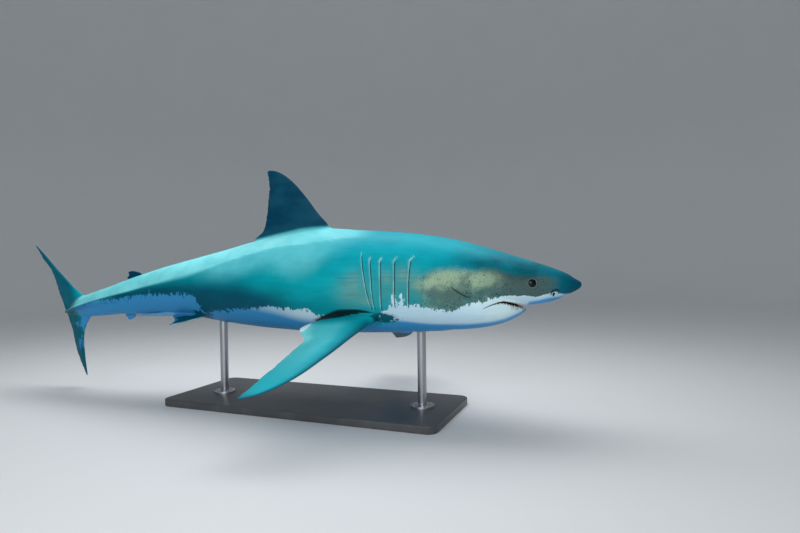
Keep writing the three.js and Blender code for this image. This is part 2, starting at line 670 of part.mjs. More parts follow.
// A fin lofted from its matching edge points; place turns a pair of numbers into a point.
function finSolid(fin, place, across) {
  const last = fin.lead.length - 1;
  const along = (edge, axis) => curveThrough(edge.map((point, i) => [i, point[axis]]));
  const leadX = along(fin.lead, 0);
  const leadY = along(fin.lead, 1);
  const trailX = along(fin.trail, 0);
  const trailY = along(fin.trail, 1);
  const thick = curveThrough(fin.thick.map((value, i) => [i, value]));
  const rings = [];
  for (let i = 0; i <= fin.steps; i += 1) {
    const t = (i / fin.steps) * last;
    const lead = place(leadX(t), leadY(t));
    const trail = place(trailX(t), trailY(t));
    rings.push(foilSection(lead, trail, thick(t), across));
  }
  return loft(rings);
}

// A fin that stands on the midline, flat in the plane of the body at one station.
function midlineFin(fin, hinge) {
  const place = (station, height) => bodyPoint(hinge, 0, height, station - hinge);
  return finSolid(fin, place, directions(hinge).left);
}

// A fin that leaves the side of the body, sloping down as it goes out.
function sideFin(fin, side) {
  const { back, left, up } = directions(fin.station);
  const slope = radians(fin.droop);
  const outward = left.clone().multiplyScalar(side * Math.cos(slope)).addScaledVector(up, -Math.sin(slope));
  const across = new THREE.Vector3().crossVectors(outward, back).normalize();
  const root = bodyPoint(fin.station, side * fin.side, fin.height);
  const place = (behind, out) => root.clone()
    .addScaledVector(back, behind * TOTAL_LENGTH)
    .addScaledVector(outward, out * TOTAL_LENGTH);
  return finSolid(fin, place, across);
}

function clasper(side, extra = 0) {
  const rings = [];
  const steps = 10;
  for (let i = 0; i <= steps; i += 1) {
    const share = i / steps;
    const station = CLASPER.start + (CLASPER.end - CLASPER.start) * share;
    const height = CLASPER.startHeight + (CLASPER.endHeight - CLASPER.startHeight) * share;
    const radius = (CLASPER.radius * Math.sqrt(1.02 - share ** 3) + extra) / TOTAL_LENGTH;
    const ring = [];
    for (let j = 0; j < 10; j += 1) {
      const angle = (j / 10) * 2 * Math.PI;
      const left = side * CLASPER.side + radius * Math.sin(angle);
      ring.push(bodyPoint(station, left, height + radius * Math.cos(angle)));
    }
    rings.push(ring);
  }
  return loft(rings);
}

// ---------------------------------------------------------------- stand

function standBase() {
  const x = BASE_LENGTH / 2 - BASE_CHAMFER;
  const y = BASE_WIDTH / 2 - BASE_CHAMFER;
  const corner = BASE_CORNER;
  const plan = new THREE.Shape();
  plan.moveTo(-x + corner, -y);
  plan.lineTo(x - corner, -y);
  plan.absarc(x - corner, -y + corner, corner, -Math.PI / 2, 0);
  plan.absarc(x - corner, y - corner, corner, 0, Math.PI / 2);
  plan.absarc(-x + corner, y - corner, corner, Math.PI / 2, Math.PI);
  plan.absarc(-x + corner, -y + corner, corner, Math.PI, 1.5 * Math.PI);
  const slab = new THREE.ExtrudeGeometry(plan, {
    depth: BASE_THICKNESS - 2 * BASE_CHAMFER,
    bevelSize: BASE_CHAMFER,
    bevelThickness: BASE_CHAMFER,
    bevelSegments: 1,
    curveSegments: 8,
  });
  slab.translate(0, 0, BASE_CHAMFER);
  return solid(slab);
}

function standRod(station, bodyCutter) {
  const foot = BASE_THICKNESS + GAP;
  const shoulder = foot + ROD_FLANGE_THICKNESS;
  const profile = [
    new THREE.Vector2(0, foot),
    new THREE.Vector2(ROD_FLANGE_RADIUS, foot),
    new THREE.Vector2(ROD_FLANGE_RADIUS, shoulder - 3),
    new THREE.Vector2(ROD_FLANGE_RADIUS - 3, shoulder),
    new THREE.Vector2(ROD_RADIUS, shoulder),
    new THREE.Vector2(ROD_RADIUS, AXIS_HEIGHT),
    new THREE.Vector2(0, AXIS_HEIGHT),
  ];
  const rod = new THREE.LatheGeometry(profile, 24);
  const under = bodyPoint(station, 0, 0);
  rod.rotateX(Math.PI / 2).translate(under.x, under.y, 0);
  return largestPiece(solid(rod).subtract(bodyCutter));
}

// ---------------------------------------------------------------- the model

const group = new THREE.Group();

function addPart(name, shape, material) {
  const { vertProperties, triVerts, numProp } = shape.getMesh();
  const places = new Float32Array((vertProperties.length / numProp) * 3);
  for (let i = 0; i < places.length / 3; i += 1) {
    places.set(vertProperties.subarray(i * numProp, i * numProp + 3), i * 3);
  }
  const geometry = new THREE.BufferGeometry();
  geometry.setAttribute('position', new THREE.BufferAttribute(places, 3));
  geometry.setIndex(new THREE.BufferAttribute(Uint32Array.from(triVerts), 1));
  geometry.computeVertexNormals();
  const mesh = new THREE.Mesh(geometry, material);
  mesh.name = name;
  group.add(mesh);
}

const cutter = bodyForCutting(GAP);
const { head, jaw } = headAndJaw();

addPart('head', head, HIDE);
addPart('jaw_lower', jaw, HIDE_PALE);
addPart('gill_region', gillRegion(), HIDE);
addPart('trunk', bodyLength(TRUNK_STATIONS, true, true), HIDE);
addPart('tail_stalk', bodyLength(TAIL_STATIONS, true, false), HIDE);
addPart('dorsal_fin', largestPiece(midlineFin(DORSAL_FIN, 0.43).subtract(cutter)), FIN_HIDE);
addPart('second_dorsal_fin', largestPiece(midlineFin(SECOND_DORSAL_FIN, 0.72).subtract(cutter)), FIN_HIDE);
addPart('anal_fin', largestPiece(midlineFin(ANAL_FIN, 0.74).subtract(cutter)), HIDE_PALE);
const upperLobe = midlineFin(UPPER_TAIL_LOBE, TAIL_FIN_STATION).subtract(cutter);
const lowerLobe = midlineFin(LOWER_TAIL_LOBE, TAIL_FIN_STATION).subtract(cutter);
addPart('tail_fin_upper_lobe', largestPiece(upperLobe), FIN_HIDE);
addPart('tail_fin_lower_lobe', largestPiece(lowerLobe), FIN_HIDE);

[['left', 1], ['right', -1]].forEach(([name, side]) => {
  const pelvic = largestPiece(sideFin(PELVIC_FIN, side).subtract(cutter).subtract(clasper(side, 2 * GAP)));
  addPart(`pectoral_fin_${name}`, largestPiece(sideFin(PECTORAL_FIN, side).subtract(cutter)), FIN_HIDE);
  addPart(`pelvic_fin_${name}`, pelvic, FIN_HIDE);
  addPart(`clasper_${name}`, largestPiece(clasper(side).subtract(cutter)), HIDE_PALE);
  addPart(`eye_${name}`, eyeBall(side), EYE_BLACK);
});

addPart('stand_base', standBase(), STAND_BASE);
Object.entries(ROD_STATIONS).forEach(([name, station]) => {
  addPart(name, standRod(station, cutter), STAND_STEEL);
});

export default group;
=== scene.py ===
"""Great white shark, life size, as a still model on a display stand.

Metres, +Z up, +X runs towards the snout, +Y is the shark's left side. As fish are measured, a
station is the distance back from the snout tip along the body's axis and a height is measured
up from that axis, both as parts of the total length.
"""

import math

import bmesh
import bpy
import numpy as np
from mathutils import Matrix, Vector, kdtree


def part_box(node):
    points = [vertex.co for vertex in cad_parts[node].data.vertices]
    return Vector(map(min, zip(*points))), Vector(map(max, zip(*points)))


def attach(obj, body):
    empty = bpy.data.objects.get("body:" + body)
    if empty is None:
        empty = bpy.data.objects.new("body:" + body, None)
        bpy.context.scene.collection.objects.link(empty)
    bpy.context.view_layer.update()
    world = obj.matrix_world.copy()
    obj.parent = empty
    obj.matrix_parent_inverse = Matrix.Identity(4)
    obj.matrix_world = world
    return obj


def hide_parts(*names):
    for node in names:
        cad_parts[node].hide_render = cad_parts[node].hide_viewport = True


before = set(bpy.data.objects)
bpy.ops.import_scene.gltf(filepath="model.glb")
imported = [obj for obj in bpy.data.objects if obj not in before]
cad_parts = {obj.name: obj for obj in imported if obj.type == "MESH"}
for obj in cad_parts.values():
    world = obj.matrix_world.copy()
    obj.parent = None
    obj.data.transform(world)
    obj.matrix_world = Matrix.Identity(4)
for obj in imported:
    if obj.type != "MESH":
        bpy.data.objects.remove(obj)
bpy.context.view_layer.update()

bl_info = {
    "name": "Great white shark model",
    "version": (1, 0, 0),
    "blender": (4, 5, 0),
    "location": "3D View > Sidebar > Shark",
    "description": "Skin, teeth, eyes, display stand and stage of a life-size shark model",
    "category": "Object",
}

# ---------------------------------------------------------------- driving sizes

MM = 0.001
TOTAL_LENGTH = 4.2
AXIS_HEIGHT = 0.79
BALANCE_STATION = 0.4

# The pose: bends in radians per total length, seen from above, and the tail's droop.
NECK_STATION, NECK_BEND, TRUNK_BEND = 0.3, -0.587, -0.422
TAIL_BEND_STATION, TAIL_BEND = 0.72, 2.935
DROOP_STATION, DROOP = 0.55, 0.419
TWIST_STATION, TWIST_LENGTH, TWIST = 0.7, 0.15, 0.083
TAIL_FIN_STATION = 0.86
BODY_END = 0.905

# Outline of the back, the underside without the lower jaw, and the half width.
BACK = [[0, -0.0005], [0.008, 0.0065], [0.02, 0.0143], [0.042, 0.0234], [0.078, 0.0354],
        [0.12, 0.0492], [0.178, 0.0649], [0.244, 0.0752], [0.316, 0.0813], [0.372, 0.0854],
        [0.41, 0.0836], [0.44, 0.079], [0.502, 0.0679], [0.558, 0.0548], [0.612, 0.0441],
        [0.668, 0.0352], [0.73, 0.0255], [0.792, 0.0183], [0.85, 0.0168], [0.88, 0.0125], [0.905, 0.006]]
UNDERSIDE = [[0, -0.0005], [0.008, -0.0092], [0.02, -0.015], [0.038, -0.023], [0.054, -0.0267],
             [0.07, -0.0283], [0.09, -0.029], [0.11, -0.0305], [0.13, -0.036], [0.15, -0.0475],
             [0.17, -0.0585], [0.185, -0.0645], [0.2, -0.0666], [0.22, -0.068], [0.25, -0.0696],
             [0.308, -0.0719], [0.38, -0.073], [0.47, -0.0693], [0.55, -0.0615], [0.586, -0.0562],
             [0.62, -0.05], [0.66, -0.0445], [0.7, -0.0405], [0.736, -0.0366], [0.768, -0.0312],
             [0.794, -0.0285], [0.838, -0.0222], [0.88, -0.0125], [0.905, -0.006]]
HALF_WIDTH = [[0, 0], [0.008, 0.0097], [0.02, 0.0168], [0.04, 0.0262], [0.07, 0.038],
              [0.1, 0.0475], [0.14, 0.0585], [0.18, 0.0665], [0.22, 0.0715], [0.27, 0.0755],
              [0.33, 0.0775], [0.38, 0.077], [0.44, 0.0728], [0.5, 0.0655], [0.56, 0.0565],
              [0.62, 0.0465], [0.68, 0.037], [0.73, 0.029], [0.77, 0.0235], [0.81, 0.0195],
              [0.85, 0.0155], [0.88, 0.01], [0.905, 0.0035]]

# The lower jaw, which hangs under the snout and melts into the throat.
JAW_TIP, JAW_CORNER, JAW_FADE = 0.0703, 0.13, 0.2
JAW_HALF_WIDTH, JAW_SPREAD = 0.05, 0.09
JAW_UNDERSIDE = [[0.0703, -0.0288], [0.0748, -0.037], [0.082, -0.0428], [0.0892, -0.0469],
                 [0.104, -0.0533], [0.12, -0.0578], [0.14, -0.0612], [0.155, -0.0628],
                 [0.17, -0.0635], [0.2, -0.0625]]
JAW_LEVEL, JAW_BLEND = -0.0255, 0.007
UPPER_LIP = [[0.06, -0.0288], [0.0715, -0.0284], [0.08, -0.0257], [0.09, -0.0233], [0.101, -0.0214],
             [0.112, -0.024], [0.118, -0.0265], [0.126, -0.0296], [0.14, -0.031]]
MOUTH_OPENING = [[0.06, 0.0062], [0.08, 0.0062], [0.09, 0.005], [0.1, 0.0032],
                 [0.107, 0.0019], [0.113, 0.001], [0.12, 0.0006], [0.14, 0.0005]]
GUM_THICKNESS = 34 * MM
PALATE_RISE = 26 * MM
MOUTH_FLOOR_DROP = 14 * MM

KEEL = [[0.72, 0], [0.77, 0.0035], [0.81, 0.0085], [0.845, 0.0125], [0.875, 0.012], [0.905, 0.006]]
KEEL_SPREAD = 0.2

EYE_STATION, EYE_ANGLE = 0.0645, 88
EYE_BALL_RADIUS, EYE_OPENING_RADIUS = 32 * MM, 22.5 * MM
EYE_LID_RADIUS, EYE_LID_RISE = 37 * MM, 4.5 * MM

NOSTRIL_STATION, NOSTRIL_ANGLE = 0.0372, 125
NOSTRIL_HALF_SIZE = (8 * MM, 15 * MM, 12 * MM)

# Gill slits: station and height at the top, the middle and the bottom, and the forward hook
# at the top of each.
GILL_SLITS = [
    [[0.216, 0.0387], [0.2165, 0.0061], [0.219, -0.028]],
    [[0.2372, 0.0381], [0.2352, 0.0062], [0.2373, -0.0302]],
    [[0.2562, 0.0384], [0.2536, 0.0001], [0.2562, -0.0334]],
    [[0.271, 0.0396], [0.2663, 0.0045], [0.2657, -0.0325]],
    [[0.2842, 0.0456], [0.276, 0.0102], [0.2695, -0.0325]],
]
GILL_HOOKS = (0.0044, 0.0036, 0.0025, 0.0013, 0)
HOOK_RISE, HOOK_CURVE = 0.0062, 3.2
GILL_REGION = (0.19, 0.315)
# Across a slit, from the flap ahead to the rim behind: distance back and distance out, in mm.
GILL_PROFILE = [(-17, 0.6), (-11, 2.0), (-6, 3.0), (-2.6, 3.2), (-1, 2.2), (-0.6, 0.2), (-3, -6),
                (-3.5, -12), (-0.8, -16), (1.6, -12), (2.8, -4), (3.6, 0.2), (5.2, 1.9), (8, 1.9), (14, 0.7)]
GILL_PROFILE_REACH = 17.5
GILL_PILLOW = 2.5 * MM

JAW_FOLD = [[0.1645, -0.0002], [0.1534, -0.0095], [0.1391, -0.0172]]
LIP_CORNER = [[0.1125, -0.0249], [0.118, -0.027], [0.1262, -0.0302]]

# Fins: matching points of the front and rear edges, from the root out to the tip.
# Fins on the midline give station and height, side fins distance back and distance out.
FIN_EDGE = 1.2 * MM
DORSAL_FIN = {
    "lead": [[0.334, 0.062], [0.3656, 0.0875], [0.387, 0.109], [0.4077, 0.1355], [0.4278, 0.1578],
             [0.4425, 0.1701], [0.456, 0.1778], [0.466, 0.1808], [0.4735, 0.1814]],
    "trail": [[0.482, 0.062], [0.5045, 0.0702], [0.4855, 0.086], [0.479, 0.109], [0.4755, 0.1365],
              [0.4735, 0.152], [0.4742, 0.165], [0.4758, 0.174], [0.4768, 0.1785]],
    "thick": [56, 50, 40, 30, 21, 15, 11, 7, 4], "hinge": 0.43, "steps": (84, 22),
}
SECOND_DORSAL_FIN = {
    "lead": [[0.706, 0.018], [0.711, 0.029], [0.72, 0.0345], [0.729, 0.0375]],
    "trail": [[0.728, 0.018], [0.742, 0.0268], [0.7375, 0.0315], [0.7383, 0.0372]],
    "thick": [16, 13, 9, 4], "hinge": 0.72, "steps": (26, 12),
}
ANAL_FIN = {
    "lead": [[0.731, -0.028], [0.735, -0.0378], [0.7415, -0.0422], [0.747, -0.0442]],
    "trail": [[0.748, -0.028], [0.758, -0.0352], [0.7545, -0.0395], [0.753, -0.0436]],
    "thick": [14, 12, 8, 4], "hinge": 0.74, "steps": (24, 12),
}
UPPER_TAIL_LOBE = {
    "lead": [[0.815, -0.002], [0.838, 0.0135], [0.8565, 0.0248], [0.8742, 0.0401], [0.8953, 0.0641],
             [0.9165, 0.0886], [0.9374, 0.1153], [0.9505, 0.1312], [0.9625, 0.1448]],
    "trail": [[0.9172, -0.002], [0.9188, 0.0135], [0.9205, 0.0258], [0.9243, 0.0401], [0.9262, 0.0641],
              [0.9325, 0.0886], [0.9505, 0.1145], [0.956, 0.1275], [0.9652, 0.1438]],
    "thick": [56, 50, 40, 32, 25, 19, 13, 9, 5], "hinge": TAIL_FIN_STATION, "steps": (76, 18),
}
LOWER_TAIL_LOBE = {
    "lead": [[0.815, 0.002], [0.8357, -0.0175], [0.8488, -0.0246], [0.8626, -0.0315], [0.8735, -0.0415],
             [0.8825, -0.0544], [0.888, -0.0702], [0.8945, -0.0942], [0.8985, -0.1141], [0.9, -0.1205]],
    "trail": [[0.917, 0.002], [0.9128, -0.0175], [0.9118, -0.0246], [0.9112, -0.0315], [0.912, -0.0415],
              [0.9133, -0.0544], [0.9134, -0.0702], [0.9095, -0.0942], [0.9042, -0.1141], [0.9022, -0.1205]],
    "thick": [56, 46, 38, 31, 26, 22, 18, 12, 7, 4], "hinge": TAIL_FIN_STATION, "steps": (70, 18),
}
PECTORAL_FIN = {
    "station": 0.266, "side": 0.066, "height": -0.044, "droop": 21.6,
    "lead": [[-0.003, -0.04], [0, 0.0005], [0.003, 0.016], [0.0072, 0.032], [0.0115, 0.047],
             [0.0158, 0.064], [0.0216, 0.0878], [0.0285, 0.111], [0.0345, 0.131], [0.042, 0.15],
             [0.053, 0.168], [0.066, 0.183], [0.078, 0.191], [0.0868, 0.1952]],
    "trail": [[0.034, -0.04], [0.038, -0.012], [0.0815, 0.0095], [0.0982, 0.033], [0.0893, 0.0485],
              [0.0752, 0.065], [0.0768, 0.0859], [0.0797, 0.1084], [0.0816, 0.131], [0.085, 0.15],
              [0.0867, 0.1704], [0.0888, 0.182], [0.0903, 0.189], [0.0908, 0.194]],
    "thick": [58, 48, 43, 39, 35, 31, 26, 22, 18, 15, 12, 9, 6, 4], "steps": (84, 22),
}
PELVIC_FIN = {
    "station": 0.577, "side": 0.033, "height": -0.05, "droop": 17,
    "lead": [[0, -0.018], [0.001, 0], [0.009, 0.009], [0.019, 0.018], [0.029, 0.026], [0.0385, 0.0325]],
    "trail": [[0.0655, -0.018], [0.0625, -0.006], [0.052, 0.006], [0.0445, 0.0155], [0.043, 0.0245],
              [0.043, 0.0315]],
    "thick": [22, 17, 14, 11, 8, 4], "steps": (34, 14),
}
CLASPER = {"start": 0.594, "end": 0.722, "side": 0.016, "from": -0.047, "to": -0.0395, "radius": 14 * MM}

# How far the smoothing at a fin's root reaches, and along the edges of mouth and nostril, and
# where it works round an eyelid, in parts of the lid's radius.
ROOT_SMOOTHING, ROOT_ROUNDS = 42 * MM, 16
EDGE_SMOOTHING, EDGE_ROUNDS = 7 * MM, 5
LID_ROUNDS, LID_EDGE = 24, (0.74, 0.95, 1.35, 1.7)
EDGE_SHARPNESS = math.radians(28)

# Lower edge of the dark back: station and height on the flank.
BORDER = [[0, -0.03], [0.012, -0.014], [0.03, -0.0115], [0.0412, -0.0107], [0.0478, -0.0131],
          [0.0567, -0.0149], [0.0747, -0.0139], [0.0935, -0.0134], [0.1082, -0.0145], [0.117, -0.0185],
          [0.1318, -0.0222], [0.1547, -0.0288], [0.1741, -0.0329], [0.1927, -0.0288], [0.2052, -0.026],
          [0.218, -0.0247], [0.2225, -0.0235], [0.2264, -0.0112], [0.2295, -0.0195], [0.2335, -0.0225],
          [0.2385, -0.0118], [0.2425, -0.0225], [0.249, -0.0305], [0.255, -0.034], [0.26, -0.045],
          [0.27, -0.053], [0.32, -0.052], [0.335, -0.0475], [0.3509, -0.0432], [0.3583, -0.0402],
          [0.3681, -0.0356], [0.3836, -0.0326], [0.4016, -0.033], [0.4199, -0.0315], [0.4518, -0.0312],
          [0.4743, -0.0328], [0.516, -0.0372], [0.5478, -0.0405], [0.5552, -0.0431], [0.5615, -0.0502],
          [0.5655, -0.058], [0.5715, -0.0585], [0.5752, -0.0355], [0.579, -0.024], [0.5812, -0.0148],
          [0.6042, -0.0133], [0.6451, -0.0101], [0.672, -0.0091], [0.6998, -0.008], [0.7268, -0.0087],
          [0.7521, -0.0065], [0.7766, -0.0033], [0.8, -0.0014], [0.83, -0.0004], [0.8624, -0.0006]]


# ---------------------------------------------------------------- curves and the body's axis

def curve_through(table):
    """A smooth curve through [x, value] pairs that never swings past them (monotone cubic)."""
    x, y = np.array(table, float).T
    rise = np.diff(y) / np.diff(x)
    ahead, behind = rise[:-1], rise[1:]
    together = ahead * behind > 0
    middle = np.where(together, 2 * ahead * behind / np.where(together, ahead + behind, 1), 0)
    slope = np.concatenate([rise[:1], middle, rise[-1:]])

    def value(at):
        at = np.clip(np.asarray(at, float), x[0], x[-1])
        i = np.clip(np.searchsorted(x, at, side="right") - 1, 0, len(x) - 2)
        step = x[i + 1] - x[i]
        t = (at - x[i]) / step
        from_start = y[i] * (1 + 2 * t) * (1 - t) ** 2 + slope[i] * step * t * (1 - t) ** 2
        return from_start + y[i + 1] * t * t * (3 - 2 * t) + slope[i + 1] * step * t * t * (t - 1)

    return value


def outline(table):
    """A body outline: a curve in the root of the station, which rounds the snout's tip."""
    curve = curve_through([[math.sqrt(station), value] for station, value in table])
    return lambda station: curve(np.sqrt(np.maximum(station, 0)))


def points_curve(points, axis):
    """One coordinate of a line of points, as a smooth curve of the point's number."""
    return curve_through([[i, point[axis]] for i, point in enumerate(points)])


back_height = outline(BACK)
underside_height = outline(UNDERSIDE)
half_width = outline(HALF_WIDTH)
jaw_underside = curve_through(JAW_UNDERSIDE)
keel_reach = curve_through(KEEL)
upper_lip = curve_through(UPPER_LIP)
mouth_opening = curve_through(MOUTH_OPENING)


def smooth_step(value, low, high):
    """0 below low and 1 above high, smoothly between."""
    t = np.clip((value - low) / (high - low), 0, 1)
    return t * t * (3 - 2 * t)


def fade_out(value, low, high):
    """1 below low and 0 above high, smoothly between."""
    return 1 - smooth_step(value, low, high)


def window(value, rise_from, rise_to, fall_from, fall_to):
    """1 inside a span and 0 outside it, rising and falling smoothly at its ends."""
    return smooth_step(value, rise_from, rise_to) * fade_out(value, fall_from, fall_to)


def bell(value, centre, width):
    """A smooth hump of height 1 round a centre."""
    return np.exp(-(((value - centre) / width) ** 2))


def heading(station):
    """Which way the axis turns at a station, seen from above, in radians."""
    bent = np.minimum(station, TAIL_FIN_STATION)
    neck = NECK_BEND * np.maximum(NECK_STATION - bent, 0)
    return (neck + TRUNK_BEND * np.maximum(bent - NECK_STATION, 0)
            + TAIL_BEND * np.maximum(bent - TAIL_BEND_STATION, 0))


AXIS_STEP = 0.001
_steps = np.arange(round(TAIL_FIN_STATION / AXIS_STEP)) + 0.5
_turns = heading(_steps * AXIS_STEP)
AXIS_STATIONS = np.arange(len(_steps) + 1) * AXIS_STEP
AXIS_X = np.concatenate([[0], np.cumsum(-np.cos(_turns) * AXIS_STEP)])
AXIS_Y = np.concatenate([[0], np.cumsum(np.sin(_turns) * AXIS_STEP)])


def directions(station):
    """Unit directions at a station: back towards the tail, to the left, and up."""
    bent = np.minimum(np.asarray(station, float), TAIL_FIN_STATION)
    turn = heading(bent)
    pitch = np.arctan(-2 * DROOP * np.maximum(bent - DROOP_STATION, 0))
    back = np.stack([-np.cos(turn) * np.cos(pitch), np.sin(turn) * np.cos(pitch), np.sin(pitch)], -1)
    level = np.stack([np.sin(turn), np.cos(turn), np.zeros_like(turn)], -1)
    upright = np.cross(level, back)
    upright /= np.linalg.norm(upright, axis=-1, keepdims=True)
    twist = (TWIST * np.clip((bent - TWIST_STATION) / TWIST_LENGTH, 0, 1))[..., None]
    up = upright * np.cos(twist) - level * np.sin(twist)
    left = level * np.cos(twist) + upright * np.sin(twist)
    return back, left, up


def axis_point(station):
    bent = np.clip(station, 0, TAIL_FIN_STATION)
    point = np.stack([np.interp(bent, AXIS_STATIONS, AXIS_X), np.interp(bent, AXIS_STATIONS, AXIS_Y),
                      -DROOP * np.maximum(bent - DROOP_STATION, 0) ** 2], -1)
    return point + directions(bent)[0] * (np.asarray(station) - bent)[..., None]


_balance = axis_point(np.array(BALANCE_STATION)) * [1, 1, 0]


def body_point(station, left, up, back=0.0):
    """A point in metres from its station and its distances left of, above and behind it."""
    station, left, up, back = np.broadcast_arrays(station, left, up, back)
    along, sideways, upwards = directions(station)
    point = (axis_point(station) + sideways * left[..., None] + upwards * up[..., None]
             + along * back[..., None])
    return (point - _balance) * TOTAL_LENGTH + [0, 0, AXIS_HEIGHT]


def body_place(points):
    """Station, distance left and distance up of points in metres, as parts of the length."""
    fish = (points - [0, 0, AXIS_HEIGHT]) / TOTAL_LENGTH + _balance
    station = np.interp(-fish[:, 0], -AXIS_X, AXIS_STATIONS)
    for _ in range(12):
        back, left, up = directions(station)
        off = fish - axis_point(station)
        station = station + np.einsum("ij,ij->i", off, back)
    back, left, up = directions(station)
    off = fish - axis_point(station)
    return station, np.einsum("ij,ij->i", off, left), np.einsum("ij,ij->i", off, up)


# ---------------------------------------------------------------- body sections

def jaw_stretch(station, centre, side, rise):
    """How far the lower jaw's oval stretches a point of the head's section outwards."""
    inside = (station > JAW_TIP) & (station < JAW_FADE)
    grown = JAW_HALF_WIDTH * np.sqrt(np.clip((station - JAW_TIP) / (JAW_CORNER - JAW_TIP), 1e-9, 1))
    wide = grown + JAW_SPREAD * np.maximum(station - JAW_CORNER, 0)
    deep = np.maximum(JAW_LEVEL - jaw_underside(station), 1e-9)
    reach = np.maximum(np.hypot(side, rise), 1e-9)
    across, upward = side / reach, rise / reach
    drop = centre - JAW_LEVEL
    a = (across / wide) ** 2 + (upward / deep) ** 2
    b = upward * drop / deep ** 2
    c = (drop / deep) ** 2 - 1
    under = b * b - a * c
    jaw = np.where(under > 0, (-b + np.sqrt(np.maximum(under, 0))) / np.maximum(a, 1e-9), 0)
    overlap = np.maximum(JAW_BLEND - np.abs(jaw - reach), 0)
    stretched = (np.maximum(jaw, reach) + overlap ** 2 / (4 * JAW_BLEND)) / reach
    return np.where(inside, stretched, 1)


def section_point(station, angle):
    """Distance left and height of the skin. The angle is 0 on the back and pi on the belly."""
    top, bottom = back_height(station), underside_height(station)
    centre = (top + bottom) / 2
    side = half_width(station) * np.sin(angle)
    rise = (top - bottom) / 2 * np.cos(angle)
    stretch = jaw_stretch(station, centre, side, rise)
    from_flank = np.mod(angle, math.pi) - math.pi / 2
    keel = keel_reach(station) * bell(from_flank, 0, KEEL_SPREAD)
    return side * stretch + np.sign(np.sin(angle)) * keel, centre + rise * stretch


def section_reach(station, left, up):
    """How far out of the skin a point lies, as a part of the length: below zero is inside."""
    top, bottom = back_height(station), underside_height(station)
    centre = (top + bottom) / 2
    rise = up - centre
    across = left / np.maximum(half_width(station), 1e-6)
    angle = np.arctan2(across, rise / np.maximum((top - bottom) / 2, 1e-6))
    side, height = section_point(station, np.mod(angle, 2 * math.pi))
    return np.hypot(left, rise) - np.hypot(side, height - centre)


def skin_point(station, angle, offset=0.0):
    side, height = section_point(station, angle)
    extra = offset / TOTAL_LENGTH
    return body_point(station, side + extra * np.sin(angle), height + extra * np.cos(angle))


def unit(vectors):
    """Vectors of the same directions and length 1."""
    return vectors / np.maximum(np.linalg.norm(vectors, axis=-1, keepdims=True), 1e-12)


def skin_normal(station, angle):
    along = skin_point(station + 0.002, angle) - skin_point(station - 0.002, angle)
    around = skin_point(station, angle + 0.02) - skin_point(station, angle - 0.02)
    return unit(np.cross(around, along))


def flank_angle(station, height, side):
    """The angle at which a flank reaches a height; side is 1 for left and -1 for right."""
    station, height = np.broadcast_arrays(np.asarray(station, float), height)
    high, low = np.zeros(station.shape), np.full(station.shape, math.pi)
    for _ in range(30):
        middle = (high + low) / 2
        above = section_point(station, middle)[1] > height
        high, low = np.where(above, middle, high), np.where(above, low, middle)
    angle = (high + low) / 2
    return angle if side > 0 else 2 * math.pi - angle


def matrix_from(*columns):
    """A placing matrix from its x, y and z directions and its origin."""
    matrix = Matrix.Identity(4)
    for column, axis in enumerate(columns):
        for row in range(3):
            matrix[row][column] = float(axis[row])
    return matrix


def skin_frame(station, degrees, side, depth=0.0):
    """A frame on the skin: x runs back along the body, y round it and z outwards."""
    angle = math.radians(degrees) if side > 0 else 2 * math.pi - math.radians(degrees)
    outward = skin_normal(np.array(station), np.array(angle))
    around = unit(skin_point(np.array(station), angle + 0.02) - skin_point(np.array(station), angle - 0.02))
    along = np.cross(around, outward)
    place = skin_point(np.array(station), np.array(angle)) - outward * depth
    return matrix_from(along, around, outward, place)


# ---------------------------------------------------------------- meshes

def select_only(*pieces):
    """Selects pieces and nothing else, the first of them as the active one."""
    bpy.ops.object.select_all(action="DESELECT")
    for piece in pieces:
        piece.select_set(True)
    bpy.context.view_layer.objects.active = pieces[0]


def new_piece(name, points, faces):
    """A mesh object from points and faces, its faces turned outwards."""
    mesh = bpy.data.meshes.new(name)
    mesh.from_pydata([tuple(point) for point in points], [], faces)
    piece = bpy.data.objects.new(name, mesh)
    bpy.context.collection.objects.link(piece)
    face_outwards(piece)
    return piece


def edit_mesh(piece, edit):
    """Loads a piece's mesh for editing, runs the edit on it and stores it again."""
    shape = bmesh.new()
    shape.from_mesh(piece.data)
    edit(shape)
    shape.to_mesh(piece.data)
    shape.free()


def face_outwards(piece):
    edit_mesh(piece, lambda shape: bmesh.ops.recalc_face_normals(shape, faces=shape.faces))


def loft(name, rings):
    """A closed piece through rings of points, each end filled round a middle point."""
    rings = np.asarray(rings)
    rows, count = rings.shape[:2]
    points = np.concatenate([rings.reshape(-1, 3), rings[0].mean(0)[None], rings[-1].mean(0)[None]])
    column = np.arange(count)
    after = (column + 1) % count
    faces = []
    for row in range(rows - 1):
        start = row * count
        quads = np.stack([start + column, start + after, start + count + after, start + count + column], -1)
        faces.extend(quads.tolist())
    for start, hub in ((0, rows * count), ((rows - 1) * count, rows * count + 1)):
        faces.extend(np.stack([start + column, start + after, np.full(count, hub)], -1).tolist())
    return new_piece(name, points, faces)


def primitive(add, name, matrix, **sizes):
    """A shape made by one of the add operators, moved into place in its mesh."""
    bpy.ops.object.select_all(action="DESELECT")
    add(**sizes)
    piece = bpy.context.object
    piece.name = name
    piece.data.name = name
    piece.data.transform(matrix)
    return piece


def combine(target, tool, operation):
    """Joins a tool to the target or cuts it from it, and removes the tool."""
    modifier = target.modifiers.new("combine", "BOOLEAN")
    modifier.operation = operation
    modifier.solver = "MANIFOLD"
    modifier.object = tool
    select_only(target)
    bpy.ops.object.modifier_apply(modifier=modifier.name)
    bpy.data.objects.remove(tool)


def vertices_of(piece):
    places = np.zeros(len(piece.data.vertices) * 3)
    piece.data.vertices.foreach_get("co", places)
    return places.reshape(-1, 3)


